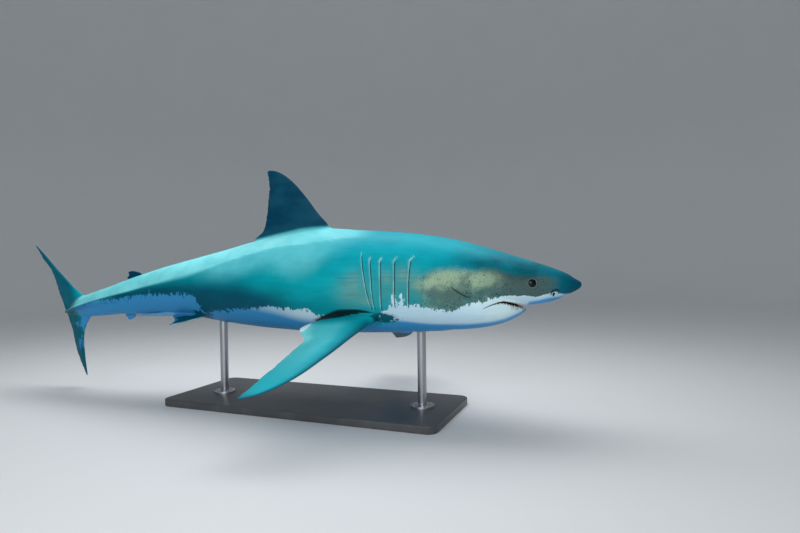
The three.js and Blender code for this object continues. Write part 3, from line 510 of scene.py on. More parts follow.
def edges_of(piece):
    ends = np.zeros(len(piece.data.edges) * 2, np.int32)
    piece.data.edges.foreach_get("vertices", ends)
    return ends.reshape(-1, 2)


def relax(piece, weight, rounds):
    """Draws each point towards the middle of its neighbours, by its weight, round after round."""
    points, ends = vertices_of(piece), edges_of(piece)
    neighbours = np.bincount(ends.ravel(), minlength=len(points))
    pull = (weight * 0.5 / np.maximum(neighbours, 1))[:, None]
    for _ in range(rounds):
        total = np.zeros_like(points)
        for axis in range(3):
            values = points[:, axis]
            total[:, axis] = (np.bincount(ends[:, 0], values[ends[:, 1]], len(points))
                              + np.bincount(ends[:, 1], values[ends[:, 0]], len(points)))
        points = points + pull * (total - points * neighbours[:, None])
    piece.data.vertices.foreach_set("co", points.ravel())
    piece.data.update()


def distance_to(points, targets):
    """Distance from each point to the nearest of the targets."""
    tree = kdtree.KDTree(len(targets))
    for i, target in enumerate(targets):
        tree.insert(target, i)
    tree.balance()
    return np.array([tree.find(point)[2] for point in points])


# ---------------------------------------------------------------- the body's skin

AROUND = 176
CROWDED_ANGLE, CROWDED_SPREAD, CROWDING = math.radians(108), math.radians(30), 1.6
SNOUT_START = 0.0004
HEAD_SPACING = [[0, 0.0006], [0.02, 0.0012], [0.065, 0.0013], [0.0693, 0.0005], [0.0735, 0.0006],
                [0.079, 0.0012], [0.14, 0.0014], [0.19, 0.0025]]
TRUNK_SPACING = [[0.315, 0.0042], [0.6, 0.0052], [0.75, 0.0045], [0.905, 0.0036]]
ROWS_BETWEEN_SLITS, ROWS_BESIDE_SLITS = 4, 7


def graded(start, end, spacing):
    """Stations from start to end, as close together as a table says."""
    places, steps = np.array(spacing).T
    stations = [start]
    while stations[-1] + 1.4 * np.interp(stations[-1], places, steps) < end:
        stations.append(stations[-1] + np.interp(stations[-1], places, steps))
    return stations + [end]


def column_angles():
    """Angles round the body, closest together where mouth, eye, nostril and border are."""
    fine = np.linspace(0, math.pi, 2001)
    crowd = 1 + CROWDING * bell(fine, CROWDED_ANGLE, CROWDED_SPREAD)
    share = np.concatenate([[0], np.cumsum(crowd[1:] + crowd[:-1])])
    half = np.interp(np.arange(AROUND // 2 + 1) / (AROUND // 2), share / share[-1], fine)
    return np.concatenate([half, 2 * math.pi - half[-2:0:-1]])


def slit_station(number, height):
    """Where a gill slit's line runs at a height, hooking forward at its top."""
    top, middle, bottom = GILL_SLITS[number]
    line = curve_through([[place[1], place[0]] for place in (bottom, middle, top)])
    hook = GILL_HOOKS[number] * np.clip((height - top[1] + HOOK_RISE) / HOOK_RISE, 0, 1) ** HOOK_CURVE
    return line(height) - hook * fade_out(height, top[1] + 0.003, top[1] + 0.03)


def slit_strength(number, height, lowered=0.0):
    """1 along a gill slit, fading to 0 past its ends; the top end may be lowered."""
    top, bottom = GILL_SLITS[number][0][1] - lowered, GILL_SLITS[number][2][1]
    return window(height, bottom - 0.001, bottom + 0.005, top - 0.001, top + 0.0025)


def gill_rows(angles):
    """Rows through the gill region, which follow its slits: stations, and distances out."""
    start, end = (np.full(len(angles), station) for station in GILL_REGION)
    lines, strengths, rims = [], [], []
    for number, slit in enumerate(GILL_SLITS):
        line = np.full(len(angles), slit[1][0])
        for _ in range(5):
            height = section_point(line, angles)[1]
            line = slit_station(number, height)
        lines.append(line)
        strengths.append(slit_strength(number, height, HOOK_RISE))
        rims.append(slit_strength(number, height))
    backs, outs = np.array(GILL_PROFILE).T
    even = np.linspace(backs[0], backs[-1], len(backs))
    reach = GILL_PROFILE_REACH * MM / TOTAL_LENGTH
    stations, offsets = [], []
    left_edge = start
    for number, (line, strength, rim) in enumerate(zip(lines, strengths, rims)):
        ahead = (line - lines[number - 1]) / 2 if number else line - start
        behind = (lines[number + 1] - line) / 2 if number < len(lines) - 1 else end - line
        first = line + backs[0] * MM / TOTAL_LENGTH * np.minimum(1, 0.9 * ahead / reach)
        between = ROWS_BETWEEN_SLITS if number else ROWS_BESIDE_SLITS
        for i in range(0 if number == 0 else 1, between):
            share = i / between
            stations.append(left_edge + (first - left_edge) * share)
            swell = strength * math.sin(math.pi * share) if number else 0 * strength
            offsets.append(GILL_PILLOW * swell)
        for back, regular, out in zip(backs, even, outs):
            room = ahead if back < 0 else behind
            moved = regular + (back - regular) * strength
            squeeze = np.minimum(1, 0.9 * room / reach)
            stations.append(line + moved * MM / TOTAL_LENGTH * squeeze)
            offsets.append(out * MM * (rim if out > 0 else strength) * (0.4 + 0.6 * squeeze))
        left_edge = stations[-1]
    for i in range(1, ROWS_BESIDE_SLITS):
        stations.append(left_edge + (end - left_edge) * i / ROWS_BESIDE_SLITS)
        offsets.append(0 * end)
    return stations, offsets


def body_piece():
    """The body without fins, as one grid of rows along it and columns round it."""
    angles = column_angles()
    plain = graded(SNOUT_START, GILL_REGION[0], HEAD_SPACING)[:-1]
    rear = graded(GILL_REGION[1], BODY_END, TRUNK_SPACING)
    gill_stations, gill_offsets = gill_rows(angles)
    stations = [np.full(AROUND, station) for station in plain]
    stations += gill_stations
    stations += [np.full(AROUND, station) for station in rear]
    offsets = [np.zeros(AROUND)] * len(plain) + gill_offsets + [np.zeros(AROUND)] * len(rear)
    stations, offsets = np.array(stations), np.array(offsets)
    spread = np.broadcast_to(angles, stations.shape)
    rings = skin_point(stations, spread) + skin_normal(stations, spread) * offsets[..., None]
    return loft("shark_skin", rings)


# ---------------------------------------------------------------- fins and claspers

def foil_half(t):
    """Half thickness of a fin's section, as a part of its greatest thickness."""
    return 5 * (0.2969 * np.sqrt(t) - 0.126 * t - 0.3516 * t ** 2 + 0.2843 * t ** 3 - 0.1036 * t ** 4)


FIN_WEAR = 1.1 * MM
NICK_WIDTH = 0.008


def edge_wear(share, nicks, depth):
    """How much a rear edge has lost to wear and nicks, along the fin from root to tip."""
    ripple = np.sin(61 * share + 1.3) + np.sin(113 * share + 0.4) + np.sin(197 * share + 2.2)
    lost = FIN_WEAR * (ripple + 1)
    for nick in nicks:
        lost = lost + depth * bell(share, nick, NICK_WIDTH)
    return lost * smooth_step(share, 0.15, 0.3)


def fin_piece(name, fin, place, across, nicks=(), depth=0.0):
    """A fin lofted from its matching edge points; place turns two numbers into a point."""
    span, chord = fin["steps"]
    number = np.linspace(0, len(fin["lead"]) - 1, span + 1)
    lead = place(points_curve(fin["lead"], 0)(number), points_curve(fin["lead"], 1)(number))
    trail = place(points_curve(fin["trail"], 0)(number), points_curve(fin["trail"], 1)(number))
    thick = curve_through([[i, value * MM] for i, value in enumerate(fin["thick"])])(number)
    width = np.linalg.norm(trail - lead, axis=1)
    lost = edge_wear(number / number[-1], nicks, depth) / width
    trail = lead + (trail - lead) * (1 - np.clip(lost, -0.1, 0.5))[:, None]
    t = (1 - np.cos(np.pi * np.arange(chord + 1) / chord)) / 2
    half = foil_half(t) * thick[:, None] + FIN_EDGE / 2 * np.minimum(1, 6 * t)
    middle = lead[:, None] + (trail - lead)[:, None] * t[None, :, None]
    upper = middle + across * half[..., None]
    lower = middle - across * half[..., None]
    return loft(name, np.concatenate([upper, lower[:, :0:-1]], axis=1))


def midline_fin(name, fin, **wear):
    """A fin that stands on the midline, flat in the plane of the body at its hinge."""
    hinge = fin["hinge"]

    def place(station, height):
        return body_point(hinge, 0.0, height, station - hinge)

    return fin_piece(name, fin, place, directions(hinge)[1], **wear)


def side_fin_frame(fin, side):
    """Root point, and unit directions back, out and across, of a fin on one side."""
    back, left, up = directions(fin["station"])
    slope = math.radians(fin["droop"])
    outward = left * side * math.cos(slope) - up * math.sin(slope)
    root = body_point(fin["station"], side * fin["side"], fin["height"])
    return root, back, outward, unit(np.cross(outward, back)) * side


def side_fin(name, fin, side, **wear):
    """A fin that leaves the side of the body, sloping down as it goes out."""
    root, back, outward, across = side_fin_frame(fin, side)

    def place(behind, out):
        return root + (back * behind[:, None] + outward * out[:, None]) * TOTAL_LENGTH

    return fin_piece(name, fin, place, across, **wear)


CLASPER_STEPS, CLASPER_AROUND = 34, 22
CLASPER_GROOVE, CLASPER_GROOVE_SPREAD = 2.2 * MM, 0.35


def clasper_piece(name, side):
    """A rod that trails under the tail stalk, with a groove along its upper side."""
    share = np.linspace(0, 1, CLASPER_STEPS)[:, None]
    station = CLASPER["start"] + (CLASPER["end"] - CLASPER["start"]) * share
    height = CLASPER["from"] + (CLASPER["to"] - CLASPER["from"]) * share
    angle = np.linspace(0, 2 * math.pi, CLASPER_AROUND, endpoint=False)[None]
    radius = CLASPER["radius"] * np.sqrt(1.02 - share ** 3)
    groove = CLASPER_GROOVE * bell(np.minimum(angle, 2 * math.pi - angle), 0, CLASPER_GROOVE_SPREAD)
    radius = (radius - groove * smooth_step(share, 0.25, 0.5)) / TOTAL_LENGTH
    left = side * CLASPER["side"] + radius * np.sin(angle)
    return loft(name, body_point(station + 0 * angle, left, height + radius * np.cos(angle)))


# ---------------------------------------------------------------- mouth, eyes, nostrils, folds

MOUTH_SPAN = 0.09
MOUTH_START, MOUTH_END = 0.058, 0.121
MOUTH_ROWS, MOUTH_COLUMNS = 56, 41


def jaw_half_width(station):
    share = (station - JAW_TIP) / (JAW_CORNER - JAW_TIP)
    return JAW_HALF_WIDTH * np.sqrt(np.clip(share, 0, 1))


def lower_lip(station):
    return upper_lip(station) - mouth_opening(station)


def mouth_cutter():
    """The gap between the lips, and behind the gums the hollow of the palate and jaw floor."""
    stations = np.linspace(MOUTH_START, MOUTH_END, MOUTH_ROWS)[:, None]
    across = np.linspace(-MOUTH_SPAN, MOUTH_SPAN, MOUTH_COLUMNS)[None]
    inner = np.maximum(jaw_half_width(stations) - GUM_THICKNESS / TOTAL_LENGTH, 1e-4)
    hollow = fade_out(np.abs(across), inner * 0.75, inner * 1.05)
    hollow = hollow * smooth_step(stations, JAW_TIP + 0.011, JAW_TIP + 0.018)
    hollow = hollow * fade_out(stations, MOUTH_END - 0.006, MOUTH_END)
    top = upper_lip(stations) + PALATE_RISE / TOTAL_LENGTH * hollow
    bottom = lower_lip(stations) - MOUTH_FLOOR_DROP / TOTAL_LENGTH * hollow
    roof, floor = body_point(stations, across, top), body_point(stations, across, bottom)
    return loft("mouth_cutter", np.concatenate([floor, roof[:, ::-1]], axis=1))


def groove_cutter(name, line, side, width, depth, steps=30):
    """A blade that cuts a groove along a line on the flank."""
    number = np.linspace(0, len(line) - 1, steps)
    station, height = points_curve(line, 0)(number), points_curve(line, 1)(number)
    angle = flank_angle(station, height, side)
    outward, surface = skin_normal(station, angle), skin_point(station, angle)
    run = unit(np.gradient(surface, axis=0))
    sideways = np.cross(outward, run)
    fade = np.sqrt(np.sin(math.pi * (np.arange(steps) + 0.3) / (steps - 0.4)))[:, None]
    half = sideways * width / 2 * fade
    ring = [surface + outward * width * 1.5 - half * 1.6, surface + outward * width * 1.5 + half * 1.6,
            surface + half, surface - outward * depth * 0.7 * fade + half * 0.7,
            surface - outward * depth * fade,
            surface - outward * depth * 0.7 * fade - half * 0.7, surface - half]
    return loft(name, np.stack(ring, axis=1))


def ball_cutter(name, frame_matrix, radii, depth=0.0, segments=40):
    """A ball or ellipsoid placed in a frame on the skin, its centre that deep in it."""
    matrix = frame_matrix @ Matrix.Translation((0, 0, -depth)) @ Matrix.Diagonal((*radii, 1))
    return primitive(bpy.ops.mesh.primitive_uv_sphere_add, name, matrix,
                     segments=segments, ring_count=segments // 2, radius=1)


def eye_depth():
    return math.sqrt(EYE_BALL_RADIUS ** 2 - EYE_OPENING_RADIUS ** 2)


EYE_CLEARANCE = 0.4 * MM
OPENING_LENGTH, OPENING_RAISED = 60 * MM, 18 * MM
LID_SIDES = 64


def shape_eye(skin, side):
    """Raises the lid round an eye and opens it for the ball."""
    on_skin = skin_frame(EYE_STATION, EYE_ANGLE, side)
    lid = ball_cutter("lid", on_skin, (EYE_LID_RADIUS, EYE_LID_RADIUS, EYE_LID_RISE), 0, LID_SIDES)
    combine(skin, lid, "UNION")
    opening = primitive(bpy.ops.mesh.primitive_cylinder_add, "opening",
                        on_skin @ Matrix.Translation((0, 0, OPENING_RAISED)),
                        vertices=LID_SIDES, radius=EYE_OPENING_RADIUS, depth=OPENING_LENGTH)
    combine(skin, opening, "DIFFERENCE")
    radius = EYE_BALL_RADIUS + EYE_CLEARANCE
    combine(skin, ball_cutter("socket", on_skin, (radius,) * 3, eye_depth(), LID_SIDES), "DIFFERENCE")


NOSTRIL_TURN = math.radians(-12)
NOSTRIL_FLAP = (4.5 * MM, 11 * MM, 5 * MM)
NOSTRIL_FLAP_BACK = 12 * MM
NOSTRIL_GROOVE = [[0.0295, -0.0086], [0.0345, -0.0066], [0.039, -0.0084], [0.042, -0.0138]]


def shape_nostril(skin, side):
    """Hollows a nostril, with a flap of skin at its rear edge and a groove round its top."""
    turned = skin_frame(NOSTRIL_STATION, NOSTRIL_ANGLE, side) @ Matrix.Rotation(NOSTRIL_TURN * side, 4, "Z")
    combine(skin, ball_cutter("nostril", turned, NOSTRIL_HALF_SIZE), "DIFFERENCE")
    behind = turned @ Matrix.Translation((NOSTRIL_FLAP_BACK, 0, 0))
    combine(skin, ball_cutter("flap", behind, NOSTRIL_FLAP, 1.5 * MM), "UNION")
    combine(skin, groove_cutter("arc", NOSTRIL_GROOVE, side, 4 * MM, 4 * MM), "DIFFERENCE")


MERGE_DISTANCE = 0.3 * MM
KEYS_PER_METRE = 20000
SMALL_FIN_STATIONS = (0.56, 0.8)


def point_keys(points):
    """Whole-number keys that tell whether two pieces share a point."""
    return [tuple(key) for key in np.round(points * KEYS_PER_METRE).astype(np.int64).tolist()]


def added_points(points, known):
    """The points that a union or cut has added where two surfaces cross."""
    return points[[key not in known for key in point_keys(points)]]


def tidy_seams(piece):
    """Merges points that a union has left on top of each other."""

    def merge(shape):
        bmesh.ops.remove_doubles(shape, verts=shape.verts, dist=MERGE_DISTANCE)
        bmesh.ops.dissolve_degenerate(shape, edges=shape.edges, dist=MERGE_DISTANCE / 4)

    edit_mesh(piece, merge)


def grow_fins(skin):
    """Joins fins and claspers to the body and rounds the hollows at their roots."""
    tools = [midline_fin("dorsal", DORSAL_FIN, nicks=(0.62, 0.66, 0.8, 0.9), depth=4 * MM),
             midline_fin("second_dorsal", SECOND_DORSAL_FIN), midline_fin("anal", ANAL_FIN),
             midline_fin("upper_lobe", UPPER_TAIL_LOBE, nicks=(0.45, 0.7), depth=4 * MM),
             midline_fin("lower_lobe", LOWER_TAIL_LOBE)]
    for side in (1, -1):
        tools.append(side_fin("pectoral", PECTORAL_FIN, side, nicks=(0.55, 0.83), depth=3 * MM))
        tools.append(side_fin("pelvic", PELVIC_FIN, side, nicks=(0.6, 0.72, 0.85), depth=4 * MM))
        tools.append(clasper_piece("clasper", side))
    known = set(point_keys(vertices_of(skin)))
    for tool in tools:
        known.update(point_keys(vertices_of(tool)))
        combine(skin, tool, "UNION")
    tidy_seams(skin)
    points = vertices_of(skin)
    seams = added_points(points, known)
    station = body_place(seams)[0]
    small = (station > SMALL_FIN_STATIONS[0]) & (station < SMALL_FIN_STATIONS[1])
    weight = np.clip(1 - distance_to(points, seams[~small]) / ROOT_SMOOTHING, 0, 1)
    weight = np.maximum(weight, np.clip(1 - distance_to(points, seams[small]) / (ROOT_SMOOTHING / 3), 0, 1))
    relax(skin, np.sqrt(weight), ROOT_ROUNDS)


def shape_head(skin):
    """Cuts the mouth and opens eyes, nostrils and folds, with their edges rounded."""
    combine(skin, mouth_cutter(), "DIFFERENCE")
    for side in (1, -1):
        shape_eye(skin, side)
        shape_nostril(skin, side)
        combine(skin, groove_cutter("fold", JAW_FOLD, side, 6 * MM, 8 * MM), "DIFFERENCE")
        combine(skin, groove_cutter("lip_corner", LIP_CORNER, side, 4 * MM, 6 * MM), "DIFFERENCE")
    tidy_seams(skin)
    points = vertices_of(skin)
    head = np.flatnonzero(body_place(points)[0] < GILL_REGION[0])
    sharp = sharp_points(skin)
    sharp = sharp[body_place(sharp)[0] < GILL_REGION[0]]
    weight = np.zeros(len(points))
    weight[head] = np.clip(1 - distance_to(points[head], sharp) / EDGE_SMOOTHING, 0, 1)
    relax(skin, np.sqrt(weight), EDGE_ROUNDS)
    relax(skin, lid_edge(points), LID_ROUNDS)


def lid_edge(points):
    """1 round the outer edge of each eyelid, which melts into the cheek, and 0 away from it."""
    weight = np.zeros(len(points))
    for side in (1, -1):
        eye = np.array(skin_frame(EYE_STATION, EYE_ANGLE, side).translation)
        away = np.linalg.norm(points - eye, axis=1) / EYE_LID_RADIUS
        weight = np.maximum(weight, window(away, *LID_EDGE))
    return weight


def sharp_points(piece):
    """Points on edges that a cut has left sharp."""
    shape = bmesh.new()
    shape.from_mesh(piece.data)
    found = set()
    for edge in shape.edges:
        if len(edge.link_faces) == 2 and edge.calc_face_angle(0) > EDGE_SHARPNESS:
            found.update(edge.verts)
    places = np.array([vertex.co for vertex in found])
    shape.free()
    return places


# ---------------------------------------------------------------- markings on the skin

border_height = curve_through(BORDER)
CHEEK_TOP = [[0, 0.001], [0.012, 0.0045], [0.0192, 0.0074], [0.038, 0.0107], [0.0567, 0.013],
             [0.0747, 0.0118], [0.0927, 0.014], [0.1107, 0.02], [0.1287, 0.0212], [0.1466, 0.0232],
             [0.1646, 0.025], [0.1826, 0.0235], [0.2006, 0.0185], [0.2136, 0.011], [0.225, 0.002],
             [0.24, -0.012]]
CHEEK_EDGE = 0.0095
LOW_FLANK = [[0, -0.02], [0.1, -0.024], [0.2, -0.03], [0.35, -0.045], [0.5, -0.034],
             [0.7, -0.012], [0.86, 0]]
# Lower edges of the painted highlight band along the back and of the softer painted light below
# it, and the upper edge of the painted blue shade on the underside.
BAND_LOW = [[0.2692, 0.0684], [0.306, 0.0683], [0.3632, 0.0622], [0.4383, 0.0545], [0.5037, 0.041],
            [0.5535, 0.0268], [0.6042, 0.0155], [0.6851, 0.0058], [0.739, 0.002], [0.79, 0.0008],
            [0.8714, -0.0004]]
SOFT_LOW = [[0.2994, 0.055], [0.3354, 0.0417], [0.3534, 0.0276], [0.386, 0.0167], [0.4432, 0.0286],
            [0.5151, 0.0135], [0.5674, 0.0094]]
BLUE_TOP = [[0, -0.0125], [0.02, -0.0155], [0.0445, -0.0182], [0.0551, -0.0207], [0.0682, -0.0235],
            [0.0764, -0.0341], [0.0853, -0.0395], [0.1041, -0.0467], [0.1229, -0.0501], [0.16, -0.0532],
            [0.1989, -0.0523], [0.2373, -0.0481], [0.3, -0.05], [0.3681, -0.052], [0.44, -0.042],
            [0.5, -0.038], [0.56, -0.03], [0.6, 0], [0.86, 0.01]]
# The black patch behind the root of the pectoral fin: station and height of its upper edge.
AXIL = [[0.2684, -0.0351], [0.2929, -0.0313], [0.3174, -0.0319], [0.3411, -0.0388], [0.3632, -0.0475]]
AXIL_DEPTH = 0.016
# Dark tongues at the roots of the paired fins: station, height, half length and half height.
TONGUES = [(0.2555, -0.0432, 0.017, 0.0066), (0.583, -0.053, 0.016, 0.0135)]
# Painted dappled light and shade on the cheek, and yellow tints among the gills and before the
# pectoral fin: station, height, half length, half height and strength.
CHEEK_DAPPLED_LIGHT = [(0.1899, 0.0047, 0.011, 0.0064, 1.0), (0.1754, 0.013, 0.0127, 0.0073, 1.0),
              (0.1572, 0.0184, 0.014, 0.0065, 0.9), (0.1464, 0.0212, 0.01, 0.005, 0.5),
              (0.159, 0.0066, 0.013, 0.007, 0.4), (0.1264, 0.0102, 0.0145, 0.0085, 0.95),
              (0.128, 0.0002, 0.012, 0.006, 0.55), (0.112, 0.0102, 0.01, 0.006, 0.4),
              (0.141, 0.0176, 0.004, 0.005, -0.5), (0.148, 0.003, 0.009, 0.006, -0.4),
              (0.1645, -0.0136, 0.03, 0.011, -0.7), (0.112, -0.0044, 0.015, 0.006, -0.3)]
OCHRE = [(0.2255, 0.016, 0.007, 0.009, 0.9), (0.2465, 0.013, 0.006, 0.008, 0.7),
         (0.2115, 0.008, 0.01, 0.013, 0.5), (0.2905, 0.0115, 0.012, 0.012, 0.55),
         (0.2755, -0.0203, 0.008, 0.005, 1.0), (0.296, -0.009, 0.022, 0.018, 0.85),
         (0.239, -0.006, 0.026, 0.026, 0.34)]
LATERAL_LINE = [[0.279, 0.0116], [0.2937, 0.012], [0.3117, 0.0119], [0.32, 0.0124]]

# Spans along the body: the stations between which a marking rises, and those where it falls.
BAND_SPAN = (0.27, 0.34, 0.885, 0.9)
SOFT_LIGHT_SPAN = (0.28, 0.36, 0.52, 0.6)
KEEL_SHADE_SPAN = (0.78, 0.82, 0.885, 0.9)
AXIL_SPAN = (0.26, 0.278, 0.362, 0.37)
CHEEK_SPAN = (0.016, 0.056, 0.175, 0.25)
BROW_SPAN = (0.05, 0.075, 0.12, 0.145)
DUSK_SPAN = (0.02, 0.05, 0.14, 0.2)
LOW_GUM_SPAN = (JAW_TIP, 0.075, 0.086, 0.098)
FACE_END, SNOUT_DUSK_END, SNOUT_DEEP_END = (0.085, 0.125), (0.06, 0.18), (0.004, 0.06)
SADDLE_AND_SHADE_START, SADDLE_AND_SHADE_END, TAIL_START = (0.3, 0.47), (0.7, 0.85), (0.845, 0.885)

# How strong markings are where they are strongest.
SOFT_LIGHT, SADDLE_AND_SHADE, SNOUT_DEEP, TONGUE_DEEP, TAIL_DEEP = 0.45, 0.9, 0.85, 0.85, 0.75
AXIL_SHADE, KEEL_SHADE, BROW_SHADE, SLIT_SHADOW, EYE_SHADOW = 0.96, 0.4, 0.4, 0.35, 0.3
LID_RIM, GILL_RIM, PELVIC_RIM = 0.22, 0.75, 0.7

# Half widths of the dark lines: painted shade in the folds, and the lateral line.
JAW_FOLD_HALF, LIP_CORNER_HALF, NOSTRIL_LINE_HALF = 4.2 * MM, 2.6 * MM, 7 * MM
LATERAL_LINE_HALF = 1.3 * MM

# The pale rear tip of the pectoral fin: distance back, distance out, and its spread.
INNER_TIP, INNER_TIP_SPREAD = (0.103, 0.031), 0.017
# A fin's two faces meet this far below its middle, and its paint lies this far off the border.
FIN_FACE, FIN_PAINT = -0.4 * MM, 0.06

MARKS = ("border", "deep", "cheek", "dusk", "shine", "dappled_light", "ochre", "rim", "shade_and_black", "mouth", "gum",
         "under", "side", "face", "line", "line_width")


def raise_mark(marks, name, value):
    """Raises a marking to a value where the value is higher."""
    marks[name] = np.maximum(marks[name], value)


def repaint(marks, where, **values):
    """Sets markings to new values on a part of the fish."""
    for name, value in values.items():
        marks[name] = np.where(where, value, marks[name])


def border_distance(station, up):
    """Distance above the lower edge of the dark back, measured across it; below it is negative."""
    along = np.linspace(0, BORDER[-1][0], 1500)
    line = np.stack([along, border_height(along)], -1)
    distance = np.abs(up - border_height(station))
    near = np.flatnonzero(distance < 0.03)
    for some in np.array_split(near, max(1, len(near) // 3000)):
        gap = np.hypot(station[some, None] - line[:, 0], up[some, None] - line[:, 1])
        distance[some] = np.minimum(distance[some], gap.min(1))
    return np.where(up > border_height(station), distance, -distance) * TOTAL_LENGTH


def blobs(places, station, up):
    """Soft round patches on the flank: station, height, half length, half height and strength."""
    total = np.zeros(len(station))
    for where, height, length, rise, strength in places:
        total += strength * bell(station, where, length) * bell(up, height, rise)
    return np.clip(total, -1, 1)


def mark_border(station, up, marks):
    """Where the dark back ends, how far down the side a point lies, and the underside's painted blue shade.
    """
    top, low = back_height(station), curve_through(LOW_FLANK)(station)
    marks["border"] = border_distance(station, up)
    marks["side"] = np.clip((top - up) / np.maximum(top - low, 1e-3), 0, 1)
    # Painted blue shade on the underside: below BLUE_TOP, stronger towards the tail, and a little everywhere
    # but round the lower jaw.
    blue = curve_through(BLUE_TOP)(station) - up
    soft = 0.0035 + 0.008 * smooth_step(station, 0.3, 0.42)
    shadowing = 0.15 * smooth_step(station, 0.3, 0.38) + 0.7 * smooth_step(station, 0.37, 0.53)
    away_from_jaw = 0.19 * (1 - bell(station, 0.105, 0.03))
    marks["under"] = np.clip(smooth_step(blue, -soft, soft) + np.maximum(shadowing, away_from_jaw), 0, 1)


def mark_back(station, left, up, proud, marks):
    """Painted highlight along the back, softer painted light below it, and the dark rear of the flank with
    painted shade.
    """
    far = smooth_step(left, -0.015, 0.02)
    crisp = 0.002 + 0.003 * bell(station, 0.6, 0.06) + 0.01 * far
    above_low = up - curve_through(BAND_LOW)(station)
    # A painted highlight along the upper back, softer on the far side, and softer painted light below it.
    band = smooth_step(above_low, -crisp, crisp) * window(station, *BAND_SPAN) * (1 - 0.35 * far)
    band = band * fade_out(proud, 4 * MM, 12 * MM)
    soft_light = smooth_step(up - curve_through(SOFT_LOW)(station), -0.016, 0.016)
    soft_light = SOFT_LIGHT * soft_light * window(station, *SOFT_LIGHT_SPAN)
    marks["shine"] = np.maximum(band * (1 - 0.18 * bell(station, 0.36, 0.06)), soft_light)
    # The dark rear of the flank: partly its own colour, partly painted shade that deepens down the flank.
    narrow, wedge = smooth_step(station, 0.45, 0.6), fade_out(station, 0.38, 0.52)
    saddle_and_shade = smooth_step(station, *SADDLE_AND_SHADE_START) * (1 - 0.3 * smooth_step(station, *SADDLE_AND_SHADE_END))
    saddle_and_shade = saddle_and_shade * smooth_step(marks["side"], 0.42 - 0.1 * narrow + 0.2 * wedge, 0.8 + 0.12 * wedge)
    snout = SNOUT_DEEP * fade_out(station, *SNOUT_DEEP_END)
    marks["deep"] = np.maximum(SADDLE_AND_SHADE * saddle_and_shade, snout) * (1 - band)
    keel_shade = window(-above_low, 0, 0.001, 0.002, 0.009) * window(station, *KEEL_SHADE_SPAN)
    marks["shade_and_black"] = KEEL_SHADE * keel_shade


def mark_fin_roots(station, left, up, proud, marks):
    """Dark tongues that run onto the paired fins, and the black patch behind the pectoral's root."""
    for where, height, length, rise in TONGUES:
        tongue = 1 - np.hypot((station - where) / length, (up - height) / rise)
        tongue = np.where(np.abs(left) > 0.022, tongue * rise * TOTAL_LENGTH, -1)
        raise_mark(marks, "border", tongue)
        raise_mark(marks, "deep", TONGUE_DEEP * smooth_step(tongue, -0.008, 0.002))
    axil = curve_through(AXIL)(station) - up
    patch = window(axil, -0.0006, 0.0012, AXIL_DEPTH - 0.003, AXIL_DEPTH) * window(station, *AXIL_SPAN)
    raise_mark(marks, "shade_and_black", AXIL_SHADE * patch * (np.abs(left) > 0.03) * (proud < 6 * MM))


def mark_cheek(station, left, up, marks):
    """The olive cheek with its painted dappled light, the dark above it, and the grey of the face."""
    above_cheek = up - curve_through(CHEEK_TOP)(station)
    marks["cheek"] = smooth_step(-above_cheek, -CHEEK_EDGE, CHEEK_EDGE) * window(station, *CHEEK_SPAN)
    raise_mark(marks, "shade_and_black", BROW_SHADE * bell(above_cheek, 0.002, 0.009) * window(station, *BROW_SPAN))
    dusk = bell(above_cheek, 0.008, 0.013) * window(station, *DUSK_SPAN)
    dusk = dusk * (0.98 - 0.26 * smooth_step(station, 0.115, 0.15))
    snout = fade_out(station, *SNOUT_DUSK_END) * smooth_step(marks["side"], -0.14, 0.2)
    marks["dusk"] = np.maximum(dusk, snout)
    marks["face"] = fade_out(station, *FACE_END)
    marks["dappled_light"] = blobs(CHEEK_DAPPLED_LIGHT, station, up)
    marks["ochre"] = blobs(OCHRE, station, up) * (np.abs(left) > 0.03)


def mark_line(line, half_width, station, up, marks):
    """A thin dark line on the flank: the offset from it, and its half width, which tapers."""
    table = sorted(line)
    height = curve_through(table)
    slope = (height(station + 5e-4) - height(station - 5e-4)) / 1e-3
    offset = (up - height(station)) * TOTAL_LENGTH / np.sqrt(1 + slope ** 2)
    first, last = table[0][0], table[-1][0]
    length = last - first
    taper = window(station, first - 0.05 * length, first + 0.3 * length,
                   last - 0.1 * length, last + 0.05 * length)
    chosen = (np.abs(offset) < 40 * MM) & (station > first - 0.02) & (station < last + 0.02)
    marks["line"][chosen] = offset[chosen]
    marks["line_width"][chosen] = (half_width * taper)[chosen]


def mark_midline_fins(station, left, up, proud, marks):
    """Dark dorsal fins and tail, the first dorsal fin darkened as painted shade, a pale anal fin, and
    claspers pale in painted blue shade.
    """
    # The first dorsal fin is painted dark all over: painted shade, as for a fin lit from behind.
    on_dorsal = (up > back_height(station) + 0.0015) & (station > 0.36) & (station < 0.52)
    repaint(marks, on_dorsal, deep=np.maximum(marks["deep"], smooth_step(proud, 4 * MM, 26 * MM)))
    second_dorsal = (station > 0.69) & (station < 0.76) & (up > 0.02) & (proud > 2 * MM)
    repaint(marks, second_dorsal, deep=1.0)
    anal = (station > 0.72) & (station < 0.77) & (up < -0.02) & (proud > 2 * MM)
    repaint(marks, anal, border=-FIN_PAINT)
    tail = smooth_step(station, *TAIL_START)
    marks["border"] = marks["border"] * (1 - tail) + 0.09 * tail
    marks["deep"] = np.maximum(marks["deep"] * (1 - tail), TAIL_DEEP * tail)
    low_lobe = (up < -0.022) & (station > 0.835)
    rear = smooth_step(station + 0.55 * (up + 0.0246), 0.875, 0.905)
    mottle = 0.02 * smooth_step(-up, 0.026, 0.034) - 0.02
    mottle += 0.06 * smooth_step(-up, 0.066, 0.09) + 0.05 * rear
    repaint(marks, low_lobe, border=mottle * tail + marks["border"] * (1 - tail))
    # Claspers pale, in the painted blue shade of the underside.
    claspers = (station > 0.6) & (station < 0.73) & (up < -0.03) & (proud > 1.5 * MM)
    repaint(marks, claspers & (np.abs(left) < 0.022), border=-0.05, under=0.8)


